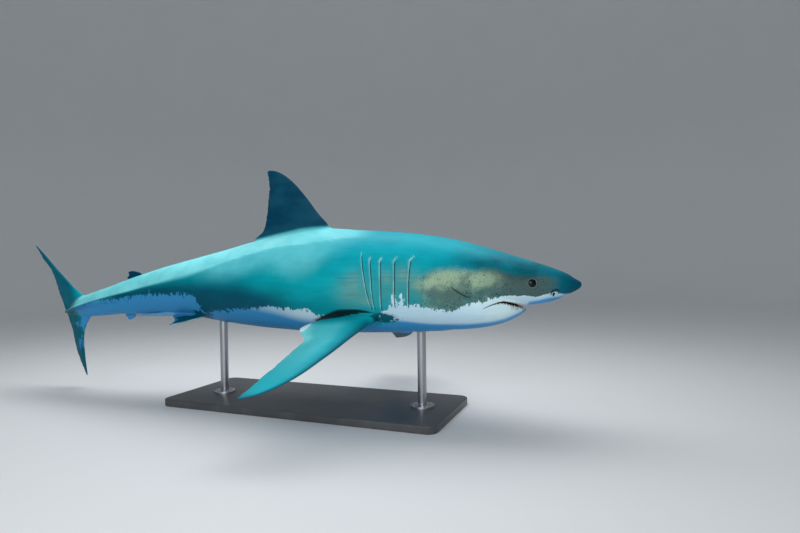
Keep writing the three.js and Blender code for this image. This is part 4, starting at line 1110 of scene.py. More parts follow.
def mark_gills(station, left, up, proud, marks):
    """Painted shade in and just ahead of the slits, and a painted highlight on the rim behind each, hooking
    forward at the top.
    """
    near = np.flatnonzero((station > GILL_REGION[0]) & (station < GILL_REGION[1]) & (np.abs(left) > 0.02))
    sunk = smooth_step(-proud[near] / MM, 0.3, 2.5)
    for number, slit in enumerate(GILL_SLITS):
        top = slit[0][1]
        offset = (station[near] - slit_station(number, up[near])) * TOTAL_LENGTH / MM
        cut = slit_strength(number, up[near], HOOK_RISE)
        along = slit_strength(number, up[near])
        # Painted highlight on the rim behind each slit and its hook, painted shade inside the slit and just
        # ahead of it.
        rim = GILL_RIM * along * window(offset, 1.8, 3.6, 5.6, 9) * (1 - sunk)
        hook = GILL_HOOKS[number] / GILL_HOOKS[0] * smooth_step(up[near], top - 0.012, top - 0.003)
        hook = hook * along * window(offset, 0.2, 2.5, 9, 16)
        found = {"shade_and_black": cut * (np.abs(offset - 1) < 6) * sunk, "rim": np.maximum(rim, hook),
                 "deep": SLIT_SHADOW * cut * window(offset, -9, -2, -1, 0) * (1 - sunk)}
        for name, value in found.items():
            marks[name][near] = np.maximum(marks[name][near], value)


def mark_eye_and_nostril(points, side, marks):
    """A pale rim and painted soft shadow round an eye; painted shade in the nostril, with pale skin round
    it.
    """
    eye = np.array(skin_frame(EYE_STATION, EYE_ANGLE, side).translation)
    away = np.linalg.norm(points - eye, axis=1) / EYE_OPENING_RADIUS
    raise_mark(marks, "rim", LID_RIM * window(away, 0.9, 1.02, 1.06, 1.2))
    raise_mark(marks, "deep", EYE_SHADOW * window(away, 1.15, 1.35, 1.4, 2.2))
    nostril = skin_frame(NOSTRIL_STATION, NOSTRIL_ANGLE, side)
    back, around, out = ((points - np.array(nostril.translation)) @ np.array(nostril.to_3x3())).T
    inside = np.hypot(back / NOSTRIL_HALF_SIZE[0], around / NOSTRIL_HALF_SIZE[1])
    # Painted shade in the nostril's hollow.
    hole = fade_out(inside, 0.8, 1.1) * smooth_step(-out / MM, -1, 1)
    raise_mark(marks, "shade_and_black", hole * (np.abs(out) < 30 * MM))
    flap = bell(back / MM, 9, 8) * bell(around * side / MM, 0, 15)
    front = bell(back / MM, -16, 16) * bell(around * side / MM, 6, 9)
    marks["border"] = marks["border"] - 0.05 * np.maximum(flap, front) * (np.abs(out) < 20 * MM)


def mark_mouth(station, up, proud, marks):
    """The inside of the mouth, its red-brown painted dark as shade, and the gum along the lower teeth."""
    lip = (up - upper_lip(station)) * TOTAL_LENGTH
    jaw = (lower_lip(station) - up) * TOTAL_LENGTH
    ahead = (station > JAW_TIP - 0.002) & (station < MOUTH_END + 0.006)
    between = ahead & (lip < 0.0272) & (jaw < 0.0152)
    raise_mark(marks, "mouth", smooth_step(-proud, 4 * MM, 10 * MM) * between)
    low_gum = window(jaw, -0.002, 0.002, 0.012, 0.022) * window(station, *LOW_GUM_SPAN)
    raise_mark(marks, "gum", low_gum * ahead * (proud > -12 * MM))


def fin_places(points, fin, side):
    """Distances back, out and across of points in the frame of a side fin."""
    root, back, outward, across = side_fin_frame(fin, side)
    off = (points - root) / TOTAL_LENGTH
    return off @ back, off @ outward, (off @ across) * TOTAL_LENGTH


def fin_edge(fin, edge):
    """An edge of a side fin, lead or trail, as distance back for each distance out."""
    return curve_through([[out, behind] for behind, out in fin[edge]])


def mark_pectoral(points, side, proud, marks):
    """Dark on top with a pale rear tip, a painted highlight and painted shade, and pale below with a dark
    outer end.
    """
    behind, out, across = fin_places(points, PECTORAL_FIN, side)
    on_fin = (proud > 3 * MM) & (out > 0.002) & (behind > -0.02) & (behind < 0.11)
    on_fin = on_fin & (np.abs(across) < 0.05)
    rear, front = fin_edge(PECTORAL_FIN, "trail")(out), fin_edge(PECTORAL_FIN, "lead")(out)
    chord = np.clip((behind - front) / np.maximum(rear - front, 1e-4), 0, 1)
    inner_tip = bell(behind, INNER_TIP[0], INNER_TIP_SPREAD) * bell(out, INNER_TIP[1], INNER_TIP_SPREAD)
    edge = np.where(across > FIN_FACE, FIN_PAINT, -FIN_PAINT) + 0.12 * fade_out(chord, 0.02, 0.14)
    edge += 0.14 * smooth_step(out, 0.135, 0.165) * (across < 0) - 0.17 * inner_tip
    # No painted blue shade on the pale rear tip of the fin.
    marks["under"] = marks["under"] * (1 - smooth_step(inner_tip, 0.05, 0.35) * on_fin)
    dark = 0.75 * fade_out(chord, 0.0, 0.17) + 0.1 * smooth_step(chord, 0.9, 1.0)
    dark = np.maximum(dark, 0.6 * smooth_step(out, 0.18, 0.195))
    dark = np.where(across < 0, np.maximum(dark, smooth_step(out, 0.12, 0.16)), dark)
    # The pale rear of the fin's top, and a painted highlight over its inner part.
    rear_light = 0.95 * smooth_step(chord, 0.6, 1.0) * fade_out(out, 0.055, 0.1)
    top_highlight = 0.28 * smooth_step(chord, 0.15, 0.4) * fade_out(out, 0.07, 0.16)
    # side gives the fin's top the darker side colour, painted shade that grows towards the trailing edge.
    repaint(marks, on_fin, border=edge, cheek=0, deep=dark * smooth_step(out, 0, 0.02),
            side=0.35 + 0.3 * smooth_step(chord, 0.4, 1.0),
            shine=np.maximum(rear_light, top_highlight) * smooth_step(out, 0.012, 0.03))


def mark_pelvic(points, side, proud, marks):
    """Dark on top with pale margins, and pale below."""
    behind, out, across = fin_places(points, PELVIC_FIN, side)
    on_fin = (proud > 2 * MM) & (out > 0) & (behind > -0.01) & (behind < 0.075)
    on_fin = on_fin & (np.abs(across) < 0.03)
    margin = (fin_edge(PELVIC_FIN, "trail")(out) - behind) * TOTAL_LENGTH - 0.014
    margin = np.minimum(margin, (0.0265 - out) * TOTAL_LENGTH)
    ahead = (behind - fin_edge(PELVIC_FIN, "lead")(out)) * TOTAL_LENGTH / MM
    repaint(marks, on_fin, border=np.where(across < FIN_FACE, -0.05, margin), deep=0.9,
            rim=PELVIC_RIM * fade_out(ahead, 2, 9))


def mark_skin(skin):
    """Writes the attributes that the hide's finish reads, worked out from places on the body."""
    points = vertices_of(skin)
    station, left, up = body_place(points)
    proud = section_reach(station, left, up) * TOTAL_LENGTH
    marks = {name: np.zeros(len(points)) for name in MARKS}
    marks["line"] += 1
    mark_border(station, up, marks)
    mark_back(station, left, up, proud, marks)
    mark_fin_roots(station, left, up, proud, marks)
    mark_cheek(station, left, up, marks)
    mark_line(LATERAL_LINE, LATERAL_LINE_HALF, station, up, marks)
    mark_midline_fins(station, left, up, proud, marks)
    mark_gills(station, left, up, proud, marks)
    # Painted shade along the folds of the jaw, the lip corner and the nostril's groove.
    for line, half_width in ((JAW_FOLD, JAW_FOLD_HALF), (LIP_CORNER, LIP_CORNER_HALF),
                             (NOSTRIL_GROOVE, NOSTRIL_LINE_HALF)):
        mark_line(line, half_width, station, up, marks)
    for side in (1, -1):
        mark_eye_and_nostril(points, side, marks)
    mark_mouth(station, up, proud, marks)
    for side in (1, -1):
        mark_pectoral(points, side, proud, marks)
        mark_pelvic(points, side, proud, marks)
    for name, values in marks.items():
        attribute = skin.data.attributes.new(name, "FLOAT", "POINT")
        attribute.data.foreach_set("value", values.astype(np.float32))


# ---------------------------------------------------------------- colours

def shade(red, green, blue):
    """A colour given in screen values from 0 to 255, as the shader's linear values."""
    parts = [value / 255 for value in (red, green, blue)]
    return tuple(part / 12.92 if part <= 0.04045 else ((part + 0.055) / 1.055) ** 2.4 for part in parts)


class Shading:
    """A node tree, called s in the finishes below, with short calls for the nodes they use."""

    def __init__(self, tree):
        self.tree = tree

    def node(self, kind, **settings):
        made = self.tree.nodes.new(kind)
        for name, value in settings.items():
            setattr(made, name, value)
        return made

    def feed(self, socket, value):
        """Links a socket to another, or sets it to a number or colour."""
        if isinstance(value, bpy.types.NodeSocket):
            self.tree.links.new(value, socket)
        elif socket.type == "RGBA":
            socket.default_value = (*value, 1)
        else:
            socket.default_value = value

    def feed_all(self, sockets, values):
        for name, value in values.items():
            self.feed(sockets[name], value)

    def surface(self, values):
        """Feeds the finish's own inputs: colour, roughness and the rest."""
        self.feed_all(self.tree.nodes["Principled BSDF"].inputs, values)

    def math(self, operation, *values):
        made = self.node("ShaderNodeMath", operation=operation)
        for socket, value in zip(made.inputs, values):
            self.feed(socket, value)
        return made.outputs[0]

    def times(self, first, second):
        return self.math("MULTIPLY", first, second)

    def plus(self, first, second):
        return self.math("ADD", first, second)

    def minus(self, first, second):
        return self.math("SUBTRACT", first, second)

    def scaled(self, value, factor, start):
        """A start, plus a factor times the value."""
        return self.plus(start, self.times(value, factor))

    def centred(self, value, factor):
        """A noise made to swing round 0, times a factor."""
        return self.times(self.minus(value, 0.5), factor)

    def mix(self, share, first, second):
        made = self.node("ShaderNodeMix", data_type="RGBA")
        self.feed(made.inputs[0], share)
        self.feed(made.inputs[6], first)
        self.feed(made.inputs[7], second)
        return made.outputs[2]

    def mark(self, name):
        return self.node("ShaderNodeAttribute", attribute_name=name).outputs["Fac"]

    def place(self):
        return self.node("ShaderNodeTexCoord").outputs["Object"]

    def mapped(self, place, scale):
        made = self.node("ShaderNodeMapping")
        self.feed_all(made.inputs, {"Vector": place, "Scale": scale})
        return made.outputs[0]

    def noise(self, place, scale, detail=4.0, roughness=0.5):
        made = self.node("ShaderNodeTexNoise")
        self.feed_all(made.inputs, {"Vector": place, "Scale": scale, "Detail": detail,
                                    "Roughness": roughness})
        return made.outputs["Fac"]

    def step(self, value, low, high):
        """0 below low and 1 above high, smoothly between."""
        made = self.node("ShaderNodeMapRange", interpolation_type="SMOOTHSTEP")
        for socket, number in zip(made.inputs, (value, low, high, 0.0, 1.0)):
            self.feed(socket, number)
        return made.outputs[0]

    def bump(self, height, strength, distance):
        made = self.node("ShaderNodeBump")
        self.feed_all(made.inputs, {"Strength": strength, "Distance": distance, "Height": height})
        return made.outputs[0]

    def group(self, tree, **values):
        made = self.node("ShaderNodeGroup", node_tree=tree)
        self.feed_all(made.inputs, values)
        return made.outputs


def new_group(name, inputs, outputs):
    """An empty node group with its sockets, and the two nodes that hold them."""
    tree = bpy.data.node_groups.new(name, "ShaderNodeTree")
    for label, kind, default in inputs:
        socket = tree.interface.new_socket(label, in_out="INPUT", socket_type=kind)
        if default is not None:
            socket.default_value = default
    for label in outputs:
        tree.interface.new_socket(label, in_out="OUTPUT", socket_type="NodeSocketFloat")
    into, out = tree.nodes.new("NodeGroupInput"), tree.nodes.new("NodeGroupOutput")
    return tree, Shading(tree), into.outputs, out.inputs


def new_material(name):
    material = bpy.data.materials.new(name)
    material.use_nodes = True
    return material, Shading(material.node_tree)


def ragged_edge_group():
    """Turns a distance from the colour border into a mask with a frayed, spotted edge."""
    tree, s, given, out = new_group(
        "ragged_edge",
        [("Distance", "NodeSocketFloat", 0.0), ("Place", "NodeSocketVector", None),
         ("Fray", "NodeSocketFloat", 1.0)], ["Mask"])
    upright = s.mapped(given["Place"], (1, 1, 0.6))
    broad = s.centred(s.noise(given["Place"], 11.0, 3.0), 0.05)
    teeth = s.centred(s.noise(upright, 50.0, 5.0, 0.66), 0.085)
    frayed = s.times(s.plus(broad, teeth), given["Fray"])
    s.feed(out["Mask"], s.step(s.plus(given["Distance"], frayed), -0.0012, 0.0012))
    return tree


def hide_grain_group():
    """The fine grain of a shark's scales and soft wrinkles, as a height, and broad clouding."""
    tree, s, given, out = new_group(
        "hide_grain", [("Place", "NodeSocketVector", None)], ["Height", "Cloud", "Streak", "Speckle"])
    place = given["Place"]
    grain = s.times(s.noise(place, 420.0, 2.0), 0.5)
    s.feed_all(out, {
        "Height": s.plus(grain, s.noise(s.mapped(place, (14, 30, 60)), 1.0, 5.0, 0.6)),
        "Cloud": s.step(s.noise(s.mapped(place, (1, 1, 2)), 3.4, 5.0, 0.6), 0.36, 0.66),
        "Streak": s.step(s.noise(s.mapped(place, (5, 14, 34)), 1.0, 4.0, 0.62), 0.38, 0.68),
        "Speckle": s.step(s.noise(place, 130.0, 5.0, 0.75), 0.46, 0.62)})
    return tree


def back_colour(s, colours, place, grain):
    """Teal with painted shade low down, light clouds, dark streaks, the painted highlight band, dark fins
    and tail.
    """
    cloud = grain["Cloud"]
    # Darker lower down the flank: painted shade, as the light falls from above.
    back = s.mix(s.step(s.mark("side"), 0.1, 0.75), colours.back, colours.side)
    back = s.mix(s.times(s.mark("dusk"), 0.9), back, colours.dusk)
    back = s.mix(s.times(cloud, 0.3), back, colours.back_light)
    back = s.mix(s.times(grain["Streak"], 0.2), back, colours.back_dark)
    mottle = s.step(s.noise(place, 9.0, 3.0), 0.36, 0.64)
    # The painted highlight along the back, mottled, and the pale rear of the pectoral fins.
    back = s.mix(s.times(s.mark("shine"), s.scaled(s.plus(cloud, mottle), 0.16, 0.68)), back, colours.shine)
    return s.mix(s.times(s.mark("deep"), s.scaled(cloud, -0.06, 1.0)), back, colours.deep)


def cheek_colour(s, colours, place, grain, back):
    """The back's colour with the olive cheek, painted dappled light on it, its dark flecks, and yellow tints
    on it.
    """
    cloud, speckle, cheek = grain["Cloud"], grain["Speckle"], s.mark("cheek")
    dappled_light = s.plus(s.mark("dappled_light"), s.centred(s.noise(place, 26.0, 4.0, 0.6), 2.2))
    dappled_light = s.plus(dappled_light, s.times(s.minus(cloud, 0.4), 0.3))
    # Painted dappled light moves the cheek between its dark and its pale olive.
    tone = s.mix(s.step(dappled_light, -0.5, 0.95), colours.cheek_dark, colours.cheek)
    tone = s.mix(s.mark("face"), tone, colours.face)
    tone = s.mix(s.times(speckle, 0.35), tone, colours.face)
    patchy = s.plus(s.plus(cheek, s.centred(speckle, 0.3)), s.centred(cloud, 0.4))
    patchy = s.times(s.step(patchy, 0.1, 1.0), s.step(cheek, 0.0, 0.35))
    flank = s.mix(patchy, back, tone)
    fleck = s.step(s.noise(place, 115.0, 3.0), 0.58, 0.66)
    fleck = s.times(fleck, s.step(s.noise(place, 14.0, 2.0), 0.4, 0.56))
    flank = s.mix(s.times(s.times(fleck, cheek), 0.75), flank, colours.shade_and_black)
    ochre = s.mark("ochre")
    flank = s.mix(s.times(ochre, s.scaled(speckle, 0.24, 0.5)), flank, colours.ochre)
    wrinkle = s.step(s.noise(s.mapped(place, (5, 5, 110)), 1.0, 3.0, 0.55), 0.52, 0.64)
    wrinkle = s.times(wrinkle, s.step(ochre, 0.02, 0.4))
    return s.mix(s.times(wrinkle, 0.3), flank, colours.cheek_dark)


def belly_colour(s, colours, grain):
    # Painted blue shade low on the underside, darker where the dark marks and painted shade reach it.
    belly = s.mix(s.times(s.mark("under"), 0.92), colours.belly, colours.belly_shade)
    belly = s.mix(s.times(grain["Streak"], 0.1), belly, colours.belly_shade)
    return s.mix(s.times(s.mark("deep"), 0.35), belly, colours.deep)


def detail_colour(s, colours, place, hide):
    """The hide's colour with gums, pale rims and painted highlight, painted shade in dark lines, folds and
    slits, and the mouth's inside on it.
    """
    gum = s.times(s.mark("gum"), s.step(s.noise(place, 70.0, 2.0), 0.5, 0.64))
    hide = s.mix(s.times(gum, 0.8), hide, colours.gum)
    patches = s.times(s.step(s.noise(place, 17.0, 2.0), 0.38, 0.6), 0.4)
    hide = s.mix(s.times(s.mark("rim"), s.plus(0.42, patches)), hide, colours.rim)
    half = s.math("MAXIMUM", s.mark("line_width"), 1e-5)
    across = s.math("DIVIDE", s.math("ABSOLUTE", s.mark("line")), half)
    line = s.minus(1.0, s.step(across, 0.35, 1.0))
    # Dark lines: painted shade along the folds, and the lateral line.
    hide = s.mix(s.times(line, 0.85), hide, colours.shade_and_black)
    # Painted shade in slits, nostrils, over the brow and under the keel, and the black patch behind the
    # pectoral fin.
    hide = s.mix(s.mark("shade_and_black"), hide, colours.shade_and_black)
    # The mouth's inside, its red-brown painted dark as shade.
    return s.mix(s.mark("mouth"), hide, colours.mouth)


def hide_material(colours):
    """The shark's hide: teal above, white below, olive on the cheeks, dark on the fins."""
    material, s = new_material("shark_hide")
    place = s.place()
    grain = s.group(hide_grain_group(), Place=place)
    flank = cheek_colour(s, colours, place, grain, back_colour(s, colours, place, grain))
    fray = s.plus(s.scaled(s.mark("face"), -0.7, 1.0), s.times(s.mark("under"), 0.6))
    dark = s.group(ragged_edge_group(), Distance=s.mark("border"), Place=place, Fray=fray)["Mask"]
    hide = s.mix(dark, belly_colour(s, colours, grain), flank)
    rough = s.plus(s.scaled(grain["Speckle"], 0.1, 0.42), s.times(grain["Cloud"], 0.08))
    s.surface({"Base Color": detail_colour(s, colours, place, hide), "Roughness": rough,
               "Specular IOR Level": 0.06, "Normal": s.bump(grain["Height"], 0.35, 0.0012)})
    return material


def tooth_material(colours):
    """Enamel, a little yellower and rougher in patches."""
    material, s = new_material("tooth_enamel")
    stain = s.step(s.noise(s.place(), 120.0, 3.0), 0.4, 0.75)
    s.surface({"Base Color": s.mix(s.times(stain, 0.5), colours.tooth, colours.tooth_root),
               "Roughness": s.scaled(stain, 0.2, 0.22)})
    return material


def eye_material(colours):
    """A wet black eye: a dark blue iris round a black pupil."""
    material, s = new_material("wet_eye")
    flecks = s.noise(s.place(), 260.0, 3.0)
    iris = s.mix(s.times(flecks, 0.6), colours.eye, colours.iris)
    s.surface({"Base Color": s.mix(s.step(s.mark("iris"), 0.3, 0.42), colours.eye, iris),
               "Roughness": s.scaled(flecks, 0.04, 0.06),
               "Specular IOR Level": 0.2, "Coat Weight": 0.1, "Coat Roughness": 0.03})
    return material


def paint_material(colours):
    """Satin paint on the stand's base, with a faint orange peel and a little dust."""
    material, s = new_material("satin_paint")
    place = s.place()
    dust = s.step(s.noise(place, 5.0, 6.0, 0.65), 0.42, 0.75)
    s.surface({"Base Color": s.mix(s.times(dust, 0.25), colours.paint, colours.paint_dust),
               "Roughness": s.scaled(dust, 0.14, 0.36),
               "Normal": s.bump(s.noise(place, 380.0, 2.0), 0.12, 0.0006)})
    return material


def steel_material(colours):
    """Brushed steel, its fine lines running round the rods."""
    material, s = new_material("brushed_steel")
    place = s.place()
    lines = s.noise(s.mapped(place, (25, 25, 1400)), 1.0, 3.0, 0.6)
    s.surface({"Base Color": s.mix(lines, colours.steel_dark, colours.steel),
               "Metallic": s.scaled(s.noise(place, 7.0, 4.0), 0.03, 0.97),
               "Roughness": s.scaled(lines, 0.16, 0.24), "Normal": s.bump(lines, 0.1, 0.0003)})
    return material


def floor_material(colours):
    material, s = new_material("pale_floor")
    cloud = s.noise(s.place(), 1.3, 5.0)
    s.surface({"Base Color": s.mix(s.times(cloud, 0.35), colours.floor, colours.floor_worn),
               "Roughness": s.scaled(cloud, 0.2, 0.5)})
    return material


# ---------------------------------------------------------------- values that a user may change

def colour_property(name, description, value):
    return bpy.props.FloatVectorProperty(name=name, description=description, subtype="COLOR", size=3,
                                         min=0.0, max=1.0, default=value)


def size_property(name, description, value, least, most):
    return bpy.props.FloatProperty(name=name, description=description, default=value, min=least, max=most,
                                   subtype="DISTANCE", unit="LENGTH")


class SharkColours(bpy.types.PropertyGroup):
    """Colours of the hide, teeth, eyes, stand and floor."""

    back: colour_property("Back", "Hide along the back", shade(0, 160, 178))
    back_light: colour_property("Back, light", "Light clouding on the back", shade(2, 186, 202))
    # Painted highlight along the upper back and on the pectoral fins, and the pale rear of the pectoral
    # fins.
    shine: colour_property("Back, pale", "Pale upper back", shade(132, 228, 234))
    back_dark: colour_property("Back, dark", "Dark streaks on the back", shade(0, 120, 140))
    # The side colour is darker: painted shade low on the flank and on the pectoral fins.
    side: colour_property("Side", "Hide low on the flank", shade(0, 146, 154))
    dusk: colour_property("Head, dark", "Dark band above the cheek", shade(0, 68, 90))
    # Dark of the fins and rear flank, partly their own colour and partly painted shade: the rear flank, the
    # first dorsal fin, beside the slits and round the eyes.
    deep: colour_property("Fin dark", "Dark fins and the rear of the flank", shade(0, 58, 84))
    cheek: colour_property("Cheek", "Pale olive patch on the cheek", shade(152, 180, 152))
    cheek_dark: colour_property("Cheek, dark", "Dark parts of the cheek", shade(84, 112, 106))
    face: colour_property("Face", "Grey side of the face", shade(74, 98, 96))
    ochre: colour_property("Ochre", "Yellow tints among the gills", shade(120, 156, 144))
    belly: colour_property("Belly", "White underside", shade(206, 233, 239))
    # Painted blue shade on the underside.
    belly_shade: colour_property("Belly, blue", "Blue tint low on the underside", shade(0, 142, 208))
    # Painted highlight on the gill rims, and pale rims of the eyelids and pelvic fins.
    rim: colour_property("Rims", "Rims of gill slits and eyelids", shade(186, 226, 222))
    # Painted shade inside slits, folds and nostrils, and black marks.
    shade_and_black: colour_property("Creases", "Inside slits and folds", shade(10, 26, 34))
    gum: colour_property("Gums", "Gum along the lower teeth", shade(120, 84, 84))
    # The mouth's red-brown, painted dark as shade.
    mouth: colour_property("Mouth", "Inside of the mouth", shade(60, 24, 28))
    tooth: colour_property("Teeth", "Enamel", shade(232, 236, 226))
    tooth_root: colour_property("Tooth roots", "Stain on the enamel", shade(196, 190, 160))
    eye: colour_property("Eye", "Pupil", shade(8, 10, 14))
    iris: colour_property("Iris", "Iris round the pupil", shade(22, 34, 52))
    paint: colour_property("Base paint", "Paint of the stand's base", shade(62, 65, 68))
    paint_dust: colour_property("Base dust", "Dust on the base", shade(112, 116, 118))
    steel: colour_property("Steel", "Steel of the rods", shade(196, 199, 203))
    steel_dark: colour_property("Steel, dark", "Lines of the brushing", shade(140, 144, 150))
    floor: colour_property("Floor", "Pale floor", shade(214, 217, 219))
    floor_worn: colour_property("Floor, clouded", "Clouding of the floor", shade(202, 206, 209))


class SharkSizes(bpy.types.PropertyGroup):
    """Sizes of the teeth, the stand's fittings and the stage."""

    upper_tooth: size_property("Upper tooth", "Height of the largest upper tooth", 0.0055, 0.003, 0.05)
    lower_tooth: size_property("Lower tooth", "Height of the largest lower tooth", 0.0135, 0.005, 0.05)
    teeth_per_side: bpy.props.IntProperty(name="Teeth per side", description="Teeth on each side of a jaw",
                                          default=13, min=4, max=20)
    screw_radius: size_property("Screw radius", "Radius of a flange screw's head", 0.009, 0.003, 0.02)
    floor_size: size_property("Floor size", "Width of the round floor", 18.0, 5.0, 200.0)


# ---------------------------------------------------------------- teeth and eyes

TOOTH_ROWS, TOOTH_AROUND = 9, 16
TOOTH_THICKNESS = 0.34
TOOTH_ROOT = 0.35
TEETH_START, TEETH_END = 0.073, 0.11
TEETH_INSET = {"teeth_upper": 17 * MM, "teeth_lower": 9 * MM}
TEETH_SHRINK = 0.72


def tooth_rings(width, height, lean):
    """One tooth that stands along z on its root, x along the jaw, leaning over along y."""
    share = np.linspace(-TOOTH_ROOT, 1, TOOTH_ROWS)[:, None]
    angle = np.linspace(0, 2 * math.pi, TOOTH_AROUND, endpoint=False)[None]
    crown = np.clip(share, 0, 1)
    half = width / 2 * np.maximum(1 - crown ** 1.15, 0.03) * (1 + 0.12 * np.sin(math.pi * crown))
    thick = half * TOOTH_THICKNESS + width * 0.06 * (1 - crown)
    across = np.cos(angle) * np.abs(np.cos(angle)) ** 0.15 * half
    through = np.sin(angle) * np.abs(np.sin(angle)) ** 0.25 * thick
    return np.stack([across, through + lean * height * crown ** 1.5 + 0 * across,
                     share * height + 0 * across], -1)


def lip_line(height_at, side, steps=60):
    """Points on the skin along a lip, from the front of the jaw to the end of its teeth."""
    station = TEETH_START + (TEETH_END - TEETH_START) * np.linspace(0, 1, steps) ** 2
    angle = flank_angle(station, height_at(station), side)
    return skin_point(station, angle), station


def tooth_row(name, height_at, size, upper, per_side):
    """A row of teeth round one jaw, as one piece."""
    left, left_stations = lip_line(height_at, 1)
    right, right_stations = lip_line(height_at, -1)
    line = np.concatenate([right[::-1], left])
    stations = np.concatenate([right_stations[::-1], left_stations])
    runs = np.concatenate([[0], np.cumsum(np.linalg.norm(np.diff(line, axis=0), axis=1))])
    count = 2 * per_side
    at = (np.arange(count) + 0.5) / count * runs[-1]
    place = np.stack([np.interp(at, runs, line[:, axis]) for axis in range(3)], -1)
    ahead = np.stack([np.interp(at + 4 * MM, runs, line[:, axis]) for axis in range(3)], -1)
    station = np.interp(at, runs, stations)
    up = directions(station)[2]
    along = ahead - place
    along = unit(along - up * np.einsum("ij,ij->i", along, up)[:, None])
    inward = np.cross(up, along)
    flip = -1 if upper else 1
    made = []
    for i in range(count):
        away = abs(i - (count - 1) / 2) / (count / 2)
        scale = 1 - TEETH_SHRINK * away ** 2
        tall = size * scale * (1 + 0.1 * math.sin(i * 2.4))
        wide = runs[-1] / count * (0.98 if upper else 0.72)
        rings = tooth_rings(wide, tall, 0.12 * math.sin(i * 1.7))
        root = place[i] + inward[i] * TEETH_INSET[name]
        points = (root + along[i] * rings[..., :1] + inward[i] * rings[..., 1:2]
                  + up[i] * flip * (rings[..., 2:] - 1.5 * MM))
        made.append(loft(f"{name}_{i}", points))
    return join_pieces(made, name)


def join_pieces(pieces, name):
    select_only(*pieces)
    bpy.ops.object.join()
    joined = bpy.context.object
    joined.name = name
    joined.data.name = name
    return joined


def eye_piece(name, side):
    """An eyeball, its pole looking outwards, with the distance from the pole as an attribute."""
    centre = skin_frame(EYE_STATION, EYE_ANGLE, side, eye_depth())
    eye = ball_cutter(name, centre, (EYE_BALL_RADIUS,) * 3, 0, LID_SIDES)
    middle, out = np.array(centre.translation), np.array(centre.to_3x3())[:, 2]
    iris = 1 - (unit(vertices_of(eye) - middle) @ out)
    attribute = eye.data.attributes.new("iris", "FLOAT", "POINT")
    attribute.data.foreach_set("value", iris.astype(np.float32))
    return eye


# ---------------------------------------------------------------- the stand

BASE_SIZE = (1.9, 0.72, 0.045)
BASE_CORNER, BASE_CHAMFER = 0.06, 0.005
ROD_RADIUS, ROD_SIDES = 0.027, 64
FLANGE_RADIUS, FLANGE_THICKNESS, FLANGE_ROUND = 0.075, 0.012, 0.003
ROD_STATIONS = {"stand_rod_front": 0.222, "stand_rod_rear": 0.563}
ROD_REACH = 0.02
SCREW_CIRCLE, SCREWS = 0.056, 4
SCREW_HEIGHT, SOCKET_SHARE = 0.005, 0.55


def bevel_edges(piece, upright, width, segments):
    """Rounds either the upright edges or all the others."""

    def bevel(shape):
        edges = [edge for edge in shape.edges
                 if (abs(edge.verts[0].co.z - edge.verts[1].co.z) > 0.01) == upright]
        bmesh.ops.bevel(shape, geom=edges, offset=width, segments=segments, profile=0.5, affect="EDGES")

    edit_mesh(piece, bevel)


def base_piece():
    """The stand's base: a slab with round corners and softened rims."""
    matrix = Matrix.Translation((0, 0, BASE_SIZE[2] / 2)) @ Matrix.Diagonal((*BASE_SIZE, 1))
    base = primitive(bpy.ops.mesh.primitive_cube_add, "stand_base_slab", matrix, size=1)
    bevel_edges(base, True, BASE_CORNER, 16)
    bevel_edges(base, False, BASE_CHAMFER, 4)
    face_outwards(base)
    return base


def turned(name, profile, sides):
    """A turned shape through (radius, height) pairs, as a closed piece round the z axis."""
    angle = np.linspace(0, 2 * math.pi, sides, endpoint=False)
    rings = [np.stack([radius * np.cos(angle), radius * np.sin(angle), 0 * angle + height], -1)
             for radius, height in profile]
    return loft(name, rings)


def rounded_corner(radius, height, round_by, steps=5):
    """Profile points round an outer top corner."""
    turn = np.linspace(0, math.pi / 2, steps)
    return [(radius - round_by * (1 - math.cos(t)), height - round_by * (1 - math.sin(t))) for t in turn]


def rod_piece(name, station, screw_radius):
    """A rod with its foot flange, held down by socket screws, reaching into the belly."""
    station = np.array(station)
    belly = body_point(station, 0.0, underside_height(station))
    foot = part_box(name)[0][2]
    shoulder = foot + FLANGE_THICKNESS
    profile = [(FLANGE_RADIUS, foot)] + rounded_corner(FLANGE_RADIUS, shoulder, FLANGE_ROUND)
    profile += [(ROD_RADIUS + 0.002, shoulder), (ROD_RADIUS, shoulder + 0.002)]
    profile += [(ROD_RADIUS, height) for height in (shoulder + 0.012, belly[2] - 0.05, belly[2] + ROD_REACH)]
    pieces = [turned(name + "_steel", profile, ROD_SIDES)]
    for i in range(SCREWS):
        turn = 2 * math.pi * (i + 0.5) / SCREWS
        screw = turned("screw", [(screw_radius, shoulder - 0.001)]
                       + rounded_corner(screw_radius, shoulder + SCREW_HEIGHT, 0.0012, 4)
                       + [(screw_radius * SOCKET_SHARE, shoulder + SCREW_HEIGHT)], 24)
        socket = turned("socket", [(screw_radius * SOCKET_SHARE, shoulder + 0.0015),
                                   (screw_radius * SOCKET_SHARE, shoulder + SCREW_HEIGHT + 0.002)], 6)
        combine(screw, socket, "DIFFERENCE")
        place = (SCREW_CIRCLE * math.cos(turn), SCREW_CIRCLE * math.sin(turn), 0)
        screw.data.transform(Matrix.Translation(place))
        pieces.append(screw)
    rod = join_pieces(pieces, name + "_steel")
    rod.data.transform(Matrix.Translation((belly[0], belly[1], 0)))
    return rod


# ---------------------------------------------------------------- stage

